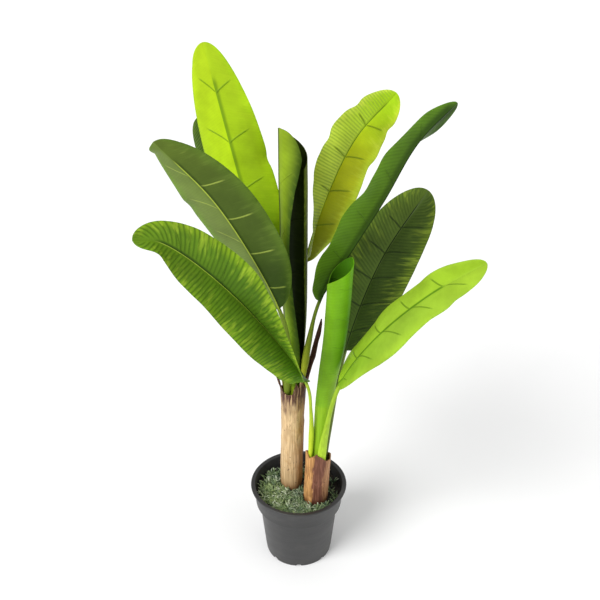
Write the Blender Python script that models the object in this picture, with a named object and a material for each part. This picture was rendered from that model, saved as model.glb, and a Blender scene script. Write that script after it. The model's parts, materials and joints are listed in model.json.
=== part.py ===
"""Potted artificial banana plant: two trunks in a black nursery pot, with eight open and two rolled leaves.

Metres, +Z up. The origin is the middle of the pot's flat base, on the surface that the pot stands on,
and the front of the plant is -Y. The sizes below are in millimetres and MM turns them into metres.
"""
import math
import random

import bmesh
import bpy
import numpy as np
from mathutils import Matrix, Vector

MM = 0.001
GAP = 0.3                  # between pieces that rest on each other or pass through each other
SEED = 17

# Nursery pot
POT_HEIGHT = 148.0
RIM_RADIUS = 85.0
LIP_Z = 144.0              # underside of the rim's lip
BAND_RADII = (76.5, 79.0)  # at its lower edge and under the lip
BAND_Z = 109.0             # lower edge of the band
BODY_TOP_RADIUS = 69.8     # under the band
BASE_RADIUS = 59.0
POT_WALL = 1.8
BASE_CORNER = 1.5
POT_SIDES = 48
NOTCHES = 8
NOTCH_SIZE = (9.0, 11.0, 10.0)

# Potting fill and ground cover
FILL_TOP = 121.5
COVER_THICKNESS = 2.4
COVER_RADIUS = 74.9
COVER_RINGS = 9
COVER_SIDES = 32
TUFTS = 80
TUFT_LEAN = 1.2
TUFT_HEIGHTS = (7.0, 19.0)

# Trunks: foot and top give the axis (x, y), the heights are above the ground
TRUNK_FOOT_Z = 62.0
FLARE_Z = 136.0            # where the trunk reaches its full width above the fill
TRUNK_SIDES = 28
TRUNK_WALL = 1.6           # of the dried sheaths that stand up round the crown
CUP_DEPTH = 10.0           # from the crown's edge down to the floor that the stalks stand on
TALL_AXIS = ((-13.3, 20.0), (-9.2, 20.0))
TALL_TOP = 335.0
SHORT_AXIS = ((30.0, -18.0), (34.0, -16.0))
SHORT_TOP = 217.0

# Leaves
STALK_STEPS = 6
BLADE_STEPS = 14
ROLL_STEPS = 13
ROLL_SIDES = 18
BLADE_EDGE = 0.9           # thickness of a blade
RIB_HEIGHTS = (2.4, 0.7)   # of the midrib under the blade, at its base and at its tip
ACROSS = (0.0, 0.08, 0.34, 0.67, 1.0)    # places of the points from the midrib to the edge
TIP_WIDTH = 2.2
FULL_FOLD_WIDTH = 22.0     # narrower than this, near the tip, a blade flattens out

# Each open leaf has its spine (foot, stalk point, blade base, then blade points), the directions that its
# upper face looks in from the base to the tip (azimuth, elevation), the half width of the blade, the angles
# of its left and right halves above flat and how much they curl, from the base to the tip, and the waves of
# the edge (height, number, left phase, right phase). Stalk sections are half width and half depth. A stalk
# faces the middle of its crown at the foot, or the azimuth foot_look.
OPEN_LEAVES = {
    "leaf_high_left": dict(
        spine=((-22, 27.4), (-38, 28, 468), (-49, 34, 536), (-95, 70, 717), (-140, 110, 897)),
        faces=((-90, 30), (-75, 25)), half=54, widest=0.40,
        fold=((-40, -38, -34, -22), (12,)), curl=((-14,), (-20,)), wave=(4, 2.5, 0.15, 0.5),
        stalk=((4, 3.5), (5, 3.5), (3.2, 3.2), (3, 3)), trunk="tall"),
    "leaf_mid_left": dict(
        spine=((-20, 11.3), (-18, -6, 451), (-31, -18, 520), (-114, -50, 706), (-191, -85, 816)),
        faces=((-80, 10), (-80, 15)), half=53, heel=2.8,
        fold=((-44, -46, -38, -60), (0, 8, 24)), curl=((-14,), (-20,)), wave=(4, 2.5, 0.2, 0.6),
        stalk=((4.5, 3), (8, 3.5), (5, 3), (2.8, 2.8)), foot_look=-80, trunk="tall"),
    "leaf_low_left": dict(
        spine=((20, -20.5), (20.5, -29, 325), (11, -41, 397), (-99, -85, 586), (-188, -120, 685),
               (-221, -140, 699)),
        faces=((-110, 35), (-90, 60)), half=52, heel=1.8, tip=2.6,
        fold=((50, 42, 34, 26, 22), (80, 76, 70, 52, 30, 16, 16)), curl=((-20,), (0, -10)),
        wave=(3, 3.5, 0.0, 0.3), stalk=((4.5, 3.6), (5, 4.6), (2.6, 2.4), (2.6, 2.6)), trunk="short"),
    "leaf_back_left": dict(
        spine=((-10.5, 34.7), (-24, 38, 502), (-34, 55, 575), (-94, 130, 667), (-164, 200, 753)),
        faces=((-100, 30), (-90, 40)), half=46,
        fold=((20,), (20,)), curl=((-20,), (-20,)), wave=(3, 3, 0.1, 0.6),
        stalk=((4, 3), (4, 3), (3, 3), (3, 3)), trunk="tall"),
    "leaf_high_right": dict(
        spine=((1.8, 29.9), (8, 42, 478), (12, 50, 566), (51, 90, 677), (93, 125, 749), (154, 160, 805)),
        faces=((-60, 10), (-80, 20)), half=53,
        fold=((78, 70, 50, 32, 26, 20, 22), (0, 5, 0, 0, 5, 12)), curl=((-20,), (-20,)),
        wave=(4, 4, 0.1, 0.55), stalk=((4, 3), (4, 3), (2.8, 2.8), (2.8, 2.8)), trunk="tall", steps=18),
    "leaf_folded_right": dict(
        spine=((2.4, 12.2), (17, 9, 443), (34, 12, 517), (79, 5, 606), (126, 0, 695), (170, 0, 783),
               (222, 10, 839)),
        faces=((152, 24), (150, 22), (129, 3)), half=52, tip=1.3,
        fold=((45, 45, 20), (44, 44, 22)), curl=((-20,), (-20,)), wave=(3, 4, 0.2, 0.5),
        foot_look=100,
        stalk=((3.5, 3), (3.7, 3.2), (6.8, 5), (5.5, 4.5), (3, 3), (2.8, 2.8)), trunk="tall", steps=16),
    "leaf_back_right": dict(
        spine=((46.5, -7), (53, -3, 265), (77, 20, 417), (132, 70, 554), (207, 115, 661)),
        faces=((-90, 26), (-82, 30)), half=57, heel=2.8, tip=2.4,
        fold=((27, 27, 20), (8, 12, 20)), curl=((-20,), (-20,)), wave=(2, 3, 0.1, 0.6),
        stalk=((3, 3), (3.2, 3), (3.5, 3.5), (3.2, 3.2)), trunk="short"),
    "leaf_low_right": dict(
        spine=((37, -28.8), (44, -36, 282), (66, -52, 399), (114, -66, 491), (193, -72, 575),
               (272, -70, 627)),
        faces=((-156, 57), (-150, 57)), half=52, heel=3.0,
        fold=((5, -5, -8, -4, -2, 8, 12), (32, 22, 10, 8, 14, 10, 0)), curl=((-20,), (-20,)),
        wave=(2, 3, 0.0, 0.5), stalk=((8, 2.6), (7.5, 3.2), (5, 3.6), (3.6, 3.4)), trunk="short"),
}

# Each rolled leaf has its axis, the radius of the roll from the foot to the top, how far the blade reaches
# round the axis on its left and on its right from the foot to the top, the share of the height by which each
# free corner is lower than the tip and the power by which its rim falls, the azimuth of the midrib and how
# much the roll opens like a spiral.
ROLLED_LEAVES = {
    "leaf_rolled_tall": dict(
        axis=((-9.2, 20), (-6, 20, 463), (-8, 22, 618), (-9, 24, 800)), radii=(9, 14, 18, 20, 20.5, 19.5),
        left=(200, 230, 247, 247, 247), right=(150, 140, 110, 80, 60, 50, 44, 53, 76, 118, 125),
        drop=(0.13, 0.107), rim_powers=(1.25, 2.8), midrib=205, spiral=-0.12, trunk="tall"),
    "leaf_rolled_short": dict(
        axis=((34, -13.5), (45, -14, 360), (59, -16, 479), (65, -14, 602)), radii=(10.3, 13, 16, 18.5, 18.5),
        left=(200,), right=(165,), drop=(0.10, 0.13), rim_powers=(1.3, 1.3), midrib=30, spiral=-0.09,
        trunk="short"),
}

# Colour (linear), roughness and metallic value of each material
BLACK_PLASTIC = (0.013, 0.014, 0.014), 0.5, 0.0
DARK_SOIL = (0.018, 0.013, 0.009), 0.95, 0.0
MOSS_GREEN = (0.035, 0.075, 0.020), 0.8, 0.0
TAN_BARK = (0.55, 0.36, 0.17), 0.7, 0.0
BROWN_BARK = (0.38, 0.19, 0.09), 0.7, 0.0
BRIGHT_LEAF = (0.28, 0.47, 0.03), 0.45, 0.0
DARK_LEAF = (0.07, 0.15, 0.02), 0.45, 0.0
MID_LEAF = (0.12, 0.30, 0.03), 0.45, 0.0
LEAF_COLOURS = {
    "leaf_high_left": BRIGHT_LEAF, "leaf_mid_left": DARK_LEAF, "leaf_low_left": MID_LEAF,
    "leaf_back_left": DARK_LEAF, "leaf_high_right": BRIGHT_LEAF, "leaf_folded_right": DARK_LEAF,
    "leaf_back_right": DARK_LEAF, "leaf_low_right": BRIGHT_LEAF,
    "leaf_rolled_tall": MID_LEAF, "leaf_rolled_short": MID_LEAF,
}


def clear_scene():
    for old in list(bpy.data.objects):
        bpy.data.objects.remove(old, do_unlink=True)


def material(name, finish):
    colour, roughness, metallic = finish
    made = bpy.data.materials.new(name)
    made.use_nodes = True
    shader = made.node_tree.nodes["Principled BSDF"]
    shader.inputs["Base Color"].default_value = (*colour, 1.0)
    shader.inputs["Roughness"].default_value = roughness
    shader.inputs["Metallic"].default_value = metallic
    return made


def add_body(name, bm, finish, smooth_angle=40):
    """Turns a bmesh in millimetres into a named object with its faces pointing out."""
    bmesh.ops.triangulate(bm, faces=bm.faces[:])
    bmesh.ops.recalc_face_normals(bm, faces=bm.faces[:])
    bmesh.ops.scale(bm, vec=(MM, MM, MM), verts=bm.verts[:])
    mesh = bpy.data.meshes.new(name)
    bm.to_mesh(mesh)
    bm.free()
    mesh.shade_smooth()
    mesh.set_sharp_from_angle(angle=math.radians(smooth_angle))
    mesh.materials.append(material(name + "_material", finish))
    body = bpy.data.objects.new(name, mesh)
    bpy.context.scene.collection.objects.link(body)
    return body


def spread(values, t):
    """Values that stand at even steps from 0 to 1, read at t."""
    return np.interp(t, np.linspace(0, 1, len(values)), values)


def spread_points(points, t):
    columns = np.array(points, float).T
    return np.stack([spread(column, t) for column in columns], axis=-1)


def unit(vectors):
    lengths = np.linalg.norm(vectors, axis=-1, keepdims=True)
    return vectors / np.maximum(lengths, 1e-9)


def looking(azimuth, elevation):
    turn, rise = math.radians(azimuth), math.radians(elevation)
    return np.array((math.cos(rise) * math.cos(turn), math.cos(rise) * math.sin(turn), math.sin(rise)))


def smooth_curve(points, per_span=24):
    """A Catmull-Rom curve through the points, with its spans timed by the root of their length."""
    knots = np.array(points, float)
    knots = np.vstack((2 * knots[0] - knots[1], knots, 2 * knots[-1] - knots[-2]))
    curve = []
    for a, b, c, d in zip(knots, knots[1:], knots[2:], knots[3:]):
        times = np.cumsum([0] + [np.linalg.norm(q - p) ** 0.5 for p, q in ((a, b), (b, c), (c, d))])
        t0, t1, t2, t3 = times
        for t in np.linspace(t1, t2, per_span, endpoint=False):
            ab = ((t1 - t) * a + (t - t0) * b) / (t1 - t0)
            bc = ((t2 - t) * b + (t - t1) * c) / (t2 - t1)
            cd = ((t3 - t) * c + (t - t2) * d) / (t3 - t2)
            abc = ((t2 - t) * ab + (t - t0) * bc) / (t2 - t0)
            bcd = ((t3 - t) * bc + (t - t1) * cd) / (t3 - t1)
            curve.append(((t2 - t) * abc + (t - t1) * bcd) / (t2 - t1))
    curve.append(knots[-2])
    return np.array(curve)


def along(curve, shares):
    """Points of the curve and its directions at the given shares of its length."""
    steps = np.linalg.norm(np.diff(curve, axis=0), axis=1)
    lengths = np.concatenate(([0], np.cumsum(steps)))
    at = np.asarray(shares) * lengths[-1]
    slopes = unit(np.gradient(curve, axis=0))
    points = np.stack([np.interp(at, lengths, curve[:, k]) for k in range(3)], axis=1)
    directions = np.stack([np.interp(at, lengths, slopes[:, k]) for k in range(3)], axis=1)
    return points, unit(directions)


def two_skins(name, front, back, finish):
    """A closed body between two grids of points, split into triangles alike on both faces."""
    rows, columns, _ = front.shape
    bm = bmesh.new()
    ahead = [[bm.verts.new(point) for point in row] for row in front]
    behind = [[bm.verts.new(point) for point in row] for row in back]

    def quad(a, b, c, d):
        bm.faces.new((a, b, c))
        bm.faces.new((a, c, d))

    for i in range(rows - 1):
        for j in range(columns - 1):
            quad(ahead[i][j], ahead[i][j + 1], ahead[i + 1][j + 1], ahead[i + 1][j])
            quad(behind[i][j], behind[i][j + 1], behind[i + 1][j + 1], behind[i + 1][j])
        for j in (0, columns - 1):
            quad(ahead[i][j], ahead[i + 1][j], behind[i + 1][j], behind[i][j])
    for i in (0, rows - 1):
        for j in range(columns - 1):
            quad(ahead[i][j], behind[i][j], behind[i][j + 1], ahead[i][j + 1])
    return add_body(name, bm, finish, smooth_angle=60)


def blade_share(t, widest, heel, tip):
    """Half width of a blade as a share of its largest: two half ovals that meet at the widest place."""
    if t < widest:
        return (1 - ((widest - t) / widest) ** heel) ** 0.5
    return (1 - ((t - widest) / (1 - widest)) ** tip) ** 0.5


def crown(trunk):
    """Middle of the crown's floor and its height."""
    axis, top = (TALL_AXIS, TALL_TOP) if trunk == "tall" else (SHORT_AXIS, SHORT_TOP)
    return np.array(axis[1]), top - CUP_DEPTH + GAP


def half_section(half, fold, curl):
    """Sideways and upward places of the points of one blade half, bent from fold to fold plus curl."""
    out = [0.0]
    up = [0.0]
    for near, far in zip(ACROSS, ACROSS[1:]):
        angle = math.radians(fold + curl * (near + far) / 2)
        out.append(out[-1] + half * (far - near) * math.cos(angle))
        up.append(up[-1] + half * (far - near) * math.sin(angle))
    return out, up


def open_leaf(name, spine, faces, half, fold, curl, wave, stalk, trunk, finish,
              widest=0.42, heel=2.2, tip=2.0, foot_look=None, steps=BLADE_STEPS):
    middle, floor = crown(trunk)
    foot = np.array((*spine[0], floor))
    curve = smooth_curve((foot, *spine[1:]))
    stalk_share = np.linspace(0, 1, STALK_STEPS + 1)[:-1]
    even = np.linspace(0, 1, steps + 1)
    blade_shares = 0.55 * even + 0.45 * (0.5 - 0.5 * np.cos(math.pi * even))
    stalk_end = 2 * 24
    stalk_points, stalk_directions = along(curve[:stalk_end + 1], stalk_share)
    blade_points, blade_directions = along(curve[stalk_end:], blade_shares)

    looks = [looking(*face) for face in faces]
    foot_face = unit(np.array((*(middle - foot[:2]), 0.0)))
    if foot_look is not None:
        foot_face = looking(foot_look, 0)
    front = []
    back = []
    for i in range(STALK_STEPS + steps + 1):
        on_blade = i - STALK_STEPS
        if on_blade < 0:
            point, direction, s = stalk_points[i], stalk_directions[i], stalk_share[i]
            look = foot_face * (1 - s) + looks[0] * s
            width, depth = spread_points(stalk, s)
            sections = [half_section(width, 0, 0)] * 2
            waves = (0.0, 0.0)
        else:
            point, direction, t = blade_points[on_blade], blade_directions[on_blade], blade_shares[on_blade]
            look = spread_points(looks, t)
            width = max(half * blade_share(t, widest, heel, tip), TIP_WIDTH)
            if on_blade == 0:
                width, depth = stalk[-1]
            else:
                depth = 0.0
            bend = 0.0 if on_blade == 0 else min(width / FULL_FOLD_WIDTH, 1.0)
            sections = [half_section(width, spread(fold[k], t) * bend, spread(curl[k], t) * bend)
                        for k in (0, 1)]
            height, count, *phases = wave
            waves = [height * math.sin(2 * math.pi * (count * t + phase)) * math.sin(math.pi * t) ** 0.5
                     for phase in phases]
        up = unit(look - np.dot(look, direction) * direction)
        side = np.cross(direction, up)
        rib = spread(RIB_HEIGHTS, max(on_blade, 0) / steps)
        above = []
        below = []
        for k, sign in ((0, -1), (1, 1)):
            outs, ups = sections[k]
            for j, u in enumerate(ACROSS):
                centre = point + side * sign * outs[j] + up * (ups[j] + waves[k] * u * u)
                slope = math.atan2(ups[min(j + 1, 4)] - ups[max(j - 1, 0)],
                                   outs[min(j + 1, 4)] - outs[max(j - 1, 0)])
                if j == 0:
                    slope = 0.0
                normal = up * math.cos(slope) - side * sign * math.sin(slope)
                if depth:
                    over = under = depth * math.sqrt(1 - (0.96 * u) ** 2)
                else:
                    over = BLADE_EDGE / 2
                    under = BLADE_EDGE / 2 + (rib if j == 0 else 0.0)
                above.append((sign * j, centre + normal * over))
                below.append((sign * j, centre - normal * under))
        front.append([place for _, place in sorted(dict(above).items())])
        back.append([place for _, place in sorted(dict(below).items())])
    front, back = np.array(front), np.array(back)
    front[0, :, 2] = back[0, :, 2] = floor
    return two_skins(name, front, back, finish)


def rolled_leaf(name, axis, radii, left, right, drop, rim_powers, midrib, spiral, trunk, finish):
    middle, floor = crown(trunk)
    curve = smooth_curve(((*axis[0], floor), *axis[1:]))
    outer = []
    inner = []
    for i in range(ROLL_STEPS + 1):
        outer_row = []
        inner_row = []
        for j in range(-ROLL_SIDES // 2, ROLL_SIDES // 2 + 1):
            v = j / (ROLL_SIDES / 2)
            k = 0 if v < 0 else 1
            share = i / ROLL_STEPS * (1 - drop[k] * abs(v) ** rim_powers[k])
            reach = spread(left if v < 0 else right, share)
            turn = math.radians(midrib + v * reach)
            radius = spread(radii, share) * (1 + spiral * v)
            centre = along(curve, [share])[0][0]
            ray = np.array((math.cos(turn), math.sin(turn), 0.0))
            outer_row.append(centre + ray * (radius + BLADE_EDGE / 2))
            inner_row.append(centre + ray * (radius - BLADE_EDGE / 2))
        outer.append(outer_row)
        inner.append(inner_row)
    return two_skins(name, np.array(outer), np.array(inner), finish)


def turned(bm, outline, sides):
    """A body turned from an outline of (radius, height) that starts and ends on the axis."""
    rings = []
    for radius, height in outline:
        if radius == 0:
            rings.append([bm.verts.new((0, 0, height))] * sides)
            continue
        turns = [2 * math.pi * k / sides for k in range(sides)]
        rings.append([bm.verts.new((radius * math.cos(a), radius * math.sin(a), height)) for a in turns])
    for low, high in zip(rings, rings[1:]):
        for k in range(sides):
            n = (k + 1) % sides
            corners = [low[k], low[n], high[n], high[k]]
            bm.faces.new([v for i, v in enumerate(corners) if v not in corners[:i]])


def cutter(name, bm):
    """A hidden body that only cuts others."""
    body = add_body(name, bm, BLACK_PLASTIC)
    body.hide_render = True
    body.display_type = 'WIRE'
    return body


def cut(body, tool):
    step = body.modifiers.new("cut", 'BOOLEAN')
    step.operation = 'DIFFERENCE'
    step.solver = 'EXACT'
    step.object = tool


def pot():
    wall = POT_WALL
    low, high = BAND_RADII
    outline = (
        (0, 0), (BASE_RADIUS - BASE_CORNER, 0), (BASE_RADIUS, BASE_CORNER),
        (BODY_TOP_RADIUS, BAND_Z - 0.5), (low - 0.4, BAND_Z), (low, BAND_Z + 0.8), (high, LIP_Z),
        (RIM_RADIUS - 1.5, LIP_Z + 0.3), (RIM_RADIUS - 0.3, LIP_Z + 1.2), (RIM_RADIUS, POT_HEIGHT - 1.4),
        (RIM_RADIUS - 0.4, POT_HEIGHT - 0.4), (RIM_RADIUS - 1.3, POT_HEIGHT), (high - wall + 1.2, POT_HEIGHT),
        (high - wall + 0.2, POT_HEIGHT - 0.6), (high - wall, POT_HEIGHT - 1.6),
        (low - wall, BAND_Z + 2), (BODY_TOP_RADIUS - wall, BAND_Z + 1.3),
        (BASE_RADIUS - wall, wall + BASE_CORNER), (BASE_RADIUS - wall - BASE_CORNER, wall), (0, wall),
    )
    bm = bmesh.new()
    turned(bm, outline, POT_SIDES)
    body = add_body("pot", bm, BLACK_PLASTIC)

    notches = bmesh.new()
    long, wide, high = NOTCH_SIZE
    for k in range(NOTCHES):
        box = bmesh.ops.create_cube(notches, size=1.0)["verts"]
        bmesh.ops.scale(notches, vec=(long, wide, high), verts=box)
        bmesh.ops.translate(notches, vec=(BASE_RADIUS - 1, 0, 0), verts=box)
        turn = math.tau * k / NOTCHES - math.pi / 2
        bmesh.ops.rotate(notches, matrix=Matrix.Rotation(turn, 3, 'Z'), verts=box)
    cut(body, cutter("notch_cutter", notches))


def trunk_cutter(name, grow):
    """Two upright bores for the trunks, wider than their feet by grow, down to just below them."""
    bm = bmesh.new()
    low, high = TRUNK_FOOT_Z - GAP, POT_HEIGHT
    for shape in (TALL, SHORT):
        radius = shape["foot_radius"] + grow
        made = bmesh.ops.create_cone(
            bm, cap_ends=True, segments=TRUNK_SIDES, radius1=radius, radius2=radius, depth=high - low)
        bmesh.ops.translate(bm, vec=(*shape["axis"][0], (low + high) / 2), verts=made["verts"])
    return cutter(name, bm)


def potting_fill():
    wall = POT_WALL + GAP
    outline = (
        (0, wall), (BASE_RADIUS - wall - BASE_CORNER, wall), (BASE_RADIUS - wall, wall + BASE_CORNER),
        (BODY_TOP_RADIUS - wall, BAND_Z + 1.6), (BAND_RADII[0] - wall, BAND_Z + 2.4),
        (BAND_RADII[0] - wall + 0.7, FILL_TOP), (0, FILL_TOP),
    )
    bm = bmesh.new()
    turned(bm, outline, POT_SIDES)
    body = add_body("potting_fill", bm, DARK_SOIL)
    cut(body, trunk_cutter("fill_cutter", GAP))


def ground_cover():
    """A mat of plastic moss on the fill, with tufts drawn up out of its top."""
    draw = random.Random(SEED)
    low = FILL_TOP + GAP
    high = low + COVER_THICKNESS
    radii = [COVER_RADIUS * k / COVER_RINGS for k in range(COVER_RINGS + 1)]
    outline = [(0, low), (COVER_RADIUS, low)] + [(r, high) for r in reversed(radii)]
    bm = bmesh.new()
    turned(bm, outline, COVER_SIDES)
    bm.normal_update()
    tops = []
    for face in bm.faces:
        centre = face.calc_center_median()
        if centre.z < high - 0.1 or len(face.verts) < 4:
            continue
        reach = math.hypot(centre.x, centre.y)
        room = min(COVER_RADIUS - reach, reach - 10)
        for shape in (TALL, SHORT):
            (x, y), _ = shape["axis"]
            room = min(room, math.hypot(centre.x - x, centre.y - y) - shape["foot_radius"] - 3)
        if room > 4:
            tops.append(face)
    chosen = draw.sample(tops, TUFTS)
    bmesh.ops.inset_individual(bm, faces=chosen, thickness=0.6)
    raised = bmesh.ops.extrude_discrete_faces(bm, faces=chosen)["faces"]
    for face in raised:
        centre = face.calc_center_median()
        lean = [draw.uniform(-TUFT_LEAN, TUFT_LEAN) for _ in range(2)]
        tip = centre + Vector((*lean, draw.uniform(*TUFT_HEIGHTS)))
        for vert in face.verts:
            vert.co = tip + (vert.co - centre) * 0.3
    body = add_body("ground_cover", bm, MOSS_GREEN, smooth_angle=20)
    cut(body, trunk_cutter("cover_cutter", 1.0))


# Radii run from the flare to the crown. A sheath is an old leaf base whose edge slants round the trunk: the
# azimuth of its low end, the heights of its two ends as shares, and its thickness. A flap is a dried tip that
# stands up from the crown: azimuth, half width in degrees, rise, and how far its tip leans outward.
TALL = dict(
    axis=TALL_AXIS, top=TALL_TOP, foot_radius=18.0, radii=(18.5, 19.3, 19.2, 19.6, 21.0, 22.6),
    sheaths=((-60, 0.55, 0.95, 1.2), (120, 0.40, 0.85, 1.0)),
    flaps=((11, 25, 130, 28), (197, 29, 58, 14), (-75, 22, 30, 0), (-50, 25, 40, 2), (-25, 24, 38, 7),
           (90, 30, 30, 5)),
    finish=TAN_BARK)
SHORT = dict(
    axis=SHORT_AXIS, top=SHORT_TOP, foot_radius=20.5, radii=(21.2, 21.2, 21.4, 21.8, 22.4),
    sheaths=((-80, 0.45, 0.95, 1.0),),
    flaps=((-100, 70, 24, 0), (195, 75, 20, 0), (80, 30, 20, 3)), finish=BROWN_BARK)


def angle_between(a, b):
    return abs((a - b + 180) % 360 - 180)


def crown_rise(azimuth, flaps):
    """Height and outward lean of the crown's ragged edge at one azimuth."""
    rise, lean = 4.0 + 1.5 * math.sin(math.radians(azimuth * 7)), 0.0
    for centre, half_width, height, tip_lean in flaps:
        share = 1 - angle_between(azimuth, centre) / half_width
        if share > 0 and height * share > rise:
            rise, lean = height * share, tip_lean * share
    return rise, lean


def trunk(name, axis, top, foot_radius, radii, sheaths, flaps, finish):
    azimuths = [360 * k / TRUNK_SIDES for k in range(TRUNK_SIDES)]
    foot, head = np.array(axis[0]), np.array(axis[1])

    def ring(height_at, radius_at):
        points = []
        for azimuth in azimuths:
            z, radius = height_at(azimuth), radius_at(azimuth)
            share = min(max((z - FLARE_Z) / (top - FLARE_Z), 0), 1)
            middle = foot + (head - foot) * share
            turn = math.radians(azimuth)
            points.append((middle[0] + radius * math.cos(turn), middle[1] + radius * math.sin(turn), z))
        return points

    def bark(azimuth, share):
        """Radius of the bark, thicker below each slanting sheath edge and a little uneven."""
        radius = spread(radii, share)
        for centre, low, high, thickness in sheaths:
            edge = low + (high - low) * angle_between(azimuth, centre) / 180
            radius += thickness * min(max((edge - share) * 12, 0), 1) * (1 - share * 0.5)
        return radius - sum(s[3] for s in sheaths) * 0.5 + 0.3 * math.sin(math.radians(azimuth * 5))

    rings = [ring(lambda a: TRUNK_FOOT_Z, lambda a: foot_radius),
             ring(lambda a: FLARE_Z - 9, lambda a: foot_radius)]
    levels = 9
    for k in range(levels + 1):
        share = k / levels
        rings.append(ring(lambda a: FLARE_Z + (top - FLARE_Z) * share, lambda a: bark(a, share)))
    inner_radius = radii[-1] - 0.5 * sum(s[3] for s in sheaths) - 0.3 - TRUNK_WALL
    rises = {a: crown_rise(a, flaps) for a in azimuths}
    shares = (0.35, 0.7, 1.0)
    for g in shares:
        rings.append(ring(lambda a: top + g * rises[a][0], lambda a: bark(a, 1) + rises[a][1] * g ** 1.5))
    for g in reversed(shares):
        rings.append(ring(lambda a: top + g * rises[a][0] - 0.2,
                          lambda a: inner_radius + rises[a][1] * g ** 1.5))
    floor_share = 1 - CUP_DEPTH / (top - FLARE_Z)
    floor_radius = inner_radius - radii[-1] + spread(radii, floor_share)
    rings.append(ring(lambda a: top - CUP_DEPTH, lambda a: floor_radius))

    bm = bmesh.new()
    loops = [[bm.verts.new(point) for point in points] for points in rings]
    for low, high in zip(loops, loops[1:]):
        for k in range(TRUNK_SIDES):
            n = (k + 1) % TRUNK_SIDES
            bm.faces.new((low[k], low[n], high[n], high[k]))
    bm.faces.new(loops[0])
    bm.faces.new(loops[-1])
    return add_body(name, bm, finish)


clear_scene()
pot()
potting_fill()
ground_cover()
trunk("trunk_tall", **TALL)
trunk("trunk_short", **SHORT)
for leaf_name, shape in OPEN_LEAVES.items():
    open_leaf(leaf_name, finish=LEAF_COLOURS[leaf_name], **shape)
for leaf_name, shape in ROLLED_LEAVES.items():
    rolled_leaf(leaf_name, finish=LEAF_COLOURS[leaf_name], **shape)
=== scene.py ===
# %% [markdown]
# # A potted artificial banana plant
# Two dried trunks stand in a black nursery pot. Ten long leaves rise out of their crowns, eight open and two
# still rolled up. Short plastic grass covers the soil.
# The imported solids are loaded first, as a fixed frame. Every visible piece is then made again in finer detail
# on the same measures, so that what is seen stays where the solids are.

# %% Load the frame
import json
import math
import random

import bpy
import numpy as np
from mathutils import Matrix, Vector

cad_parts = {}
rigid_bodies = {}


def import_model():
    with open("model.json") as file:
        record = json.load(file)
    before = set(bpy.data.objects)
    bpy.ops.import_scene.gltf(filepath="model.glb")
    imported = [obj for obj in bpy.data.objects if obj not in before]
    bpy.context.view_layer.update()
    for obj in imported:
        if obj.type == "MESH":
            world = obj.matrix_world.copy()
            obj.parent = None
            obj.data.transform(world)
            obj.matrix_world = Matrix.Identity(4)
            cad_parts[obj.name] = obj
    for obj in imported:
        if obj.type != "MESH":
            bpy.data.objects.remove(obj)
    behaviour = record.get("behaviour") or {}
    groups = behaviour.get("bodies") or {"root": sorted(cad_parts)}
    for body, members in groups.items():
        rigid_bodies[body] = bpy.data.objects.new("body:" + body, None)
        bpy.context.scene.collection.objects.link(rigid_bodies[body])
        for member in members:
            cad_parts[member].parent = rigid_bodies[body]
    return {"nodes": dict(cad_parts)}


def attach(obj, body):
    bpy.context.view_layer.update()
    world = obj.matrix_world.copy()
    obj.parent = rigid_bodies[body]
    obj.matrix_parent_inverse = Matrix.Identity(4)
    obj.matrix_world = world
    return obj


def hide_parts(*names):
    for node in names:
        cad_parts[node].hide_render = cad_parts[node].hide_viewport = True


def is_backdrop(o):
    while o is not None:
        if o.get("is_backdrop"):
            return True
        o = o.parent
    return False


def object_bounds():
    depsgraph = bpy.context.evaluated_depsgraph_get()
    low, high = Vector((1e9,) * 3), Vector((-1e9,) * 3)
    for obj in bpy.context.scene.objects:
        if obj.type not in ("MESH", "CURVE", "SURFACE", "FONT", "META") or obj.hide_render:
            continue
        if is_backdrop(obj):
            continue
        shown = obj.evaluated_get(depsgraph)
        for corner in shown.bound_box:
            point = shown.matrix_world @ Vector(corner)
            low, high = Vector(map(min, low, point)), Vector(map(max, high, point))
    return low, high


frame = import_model()
CAD_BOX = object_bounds()
MM = 0.001
print("the solids span", [[round(v, 3) for v in corner] for corner in CAD_BOX])

# %% [markdown]
# ## Camera
# The plant was photographed from a little above its leaves, looking down by about 30 degrees, so that the
# inside of the pot shows. A lens somewhat longer than normal keeps the trunks upright.

# %% Camera
CAMERA_PLACE = (0.0023, -1.2, 1.231)
CAMERA_TILT = 59.5
CAMERA_LENS = 53.28


def deselect_all():
    bpy.ops.object.select_all(action='DESELECT')


deselect_all()
bpy.ops.object.camera_add(location=CAMERA_PLACE, rotation=(math.radians(CAMERA_TILT), 0, 0))
camera = bpy.context.active_object
camera.name = "studio_camera"
camera.data.lens = CAMERA_LENS
bpy.context.scene.camera = camera
print("camera at", CAMERA_PLACE)

# %% [markdown]
# ## Floor and light
# A wide pale floor fills the view. A large soft lamp up on the left is the main light, a weaker one on the
# right opens the shadows, and an even white sky does the rest. The plain view transform keeps the bright
# yellow greens as clear as they are on the plant.

# %% Floor and light
FLOOR_SIZE = 30.0
FLOOR_COLOUR = (0.9, 0.9, 0.9)
SKY_STRENGTH = 0.62
LAMPS = {
    "key_lamp": dict(kind='SUN', place=(-2.2, -1.9, 2.6), size=35.0, power=2.6),
    "fill_lamp": dict(kind='SUN', place=(2.4, -1.6, 1.6), size=60.0, power=0.5),
}


def plain_material(name, colour, roughness):
    made = bpy.data.materials.new(name)
    made.use_nodes = True
    shader = made.node_tree.nodes["Principled BSDF"]
    shader.inputs["Base Color"].default_value = (*colour, 1)
    shader.inputs["Roughness"].default_value = roughness
    return made


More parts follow.
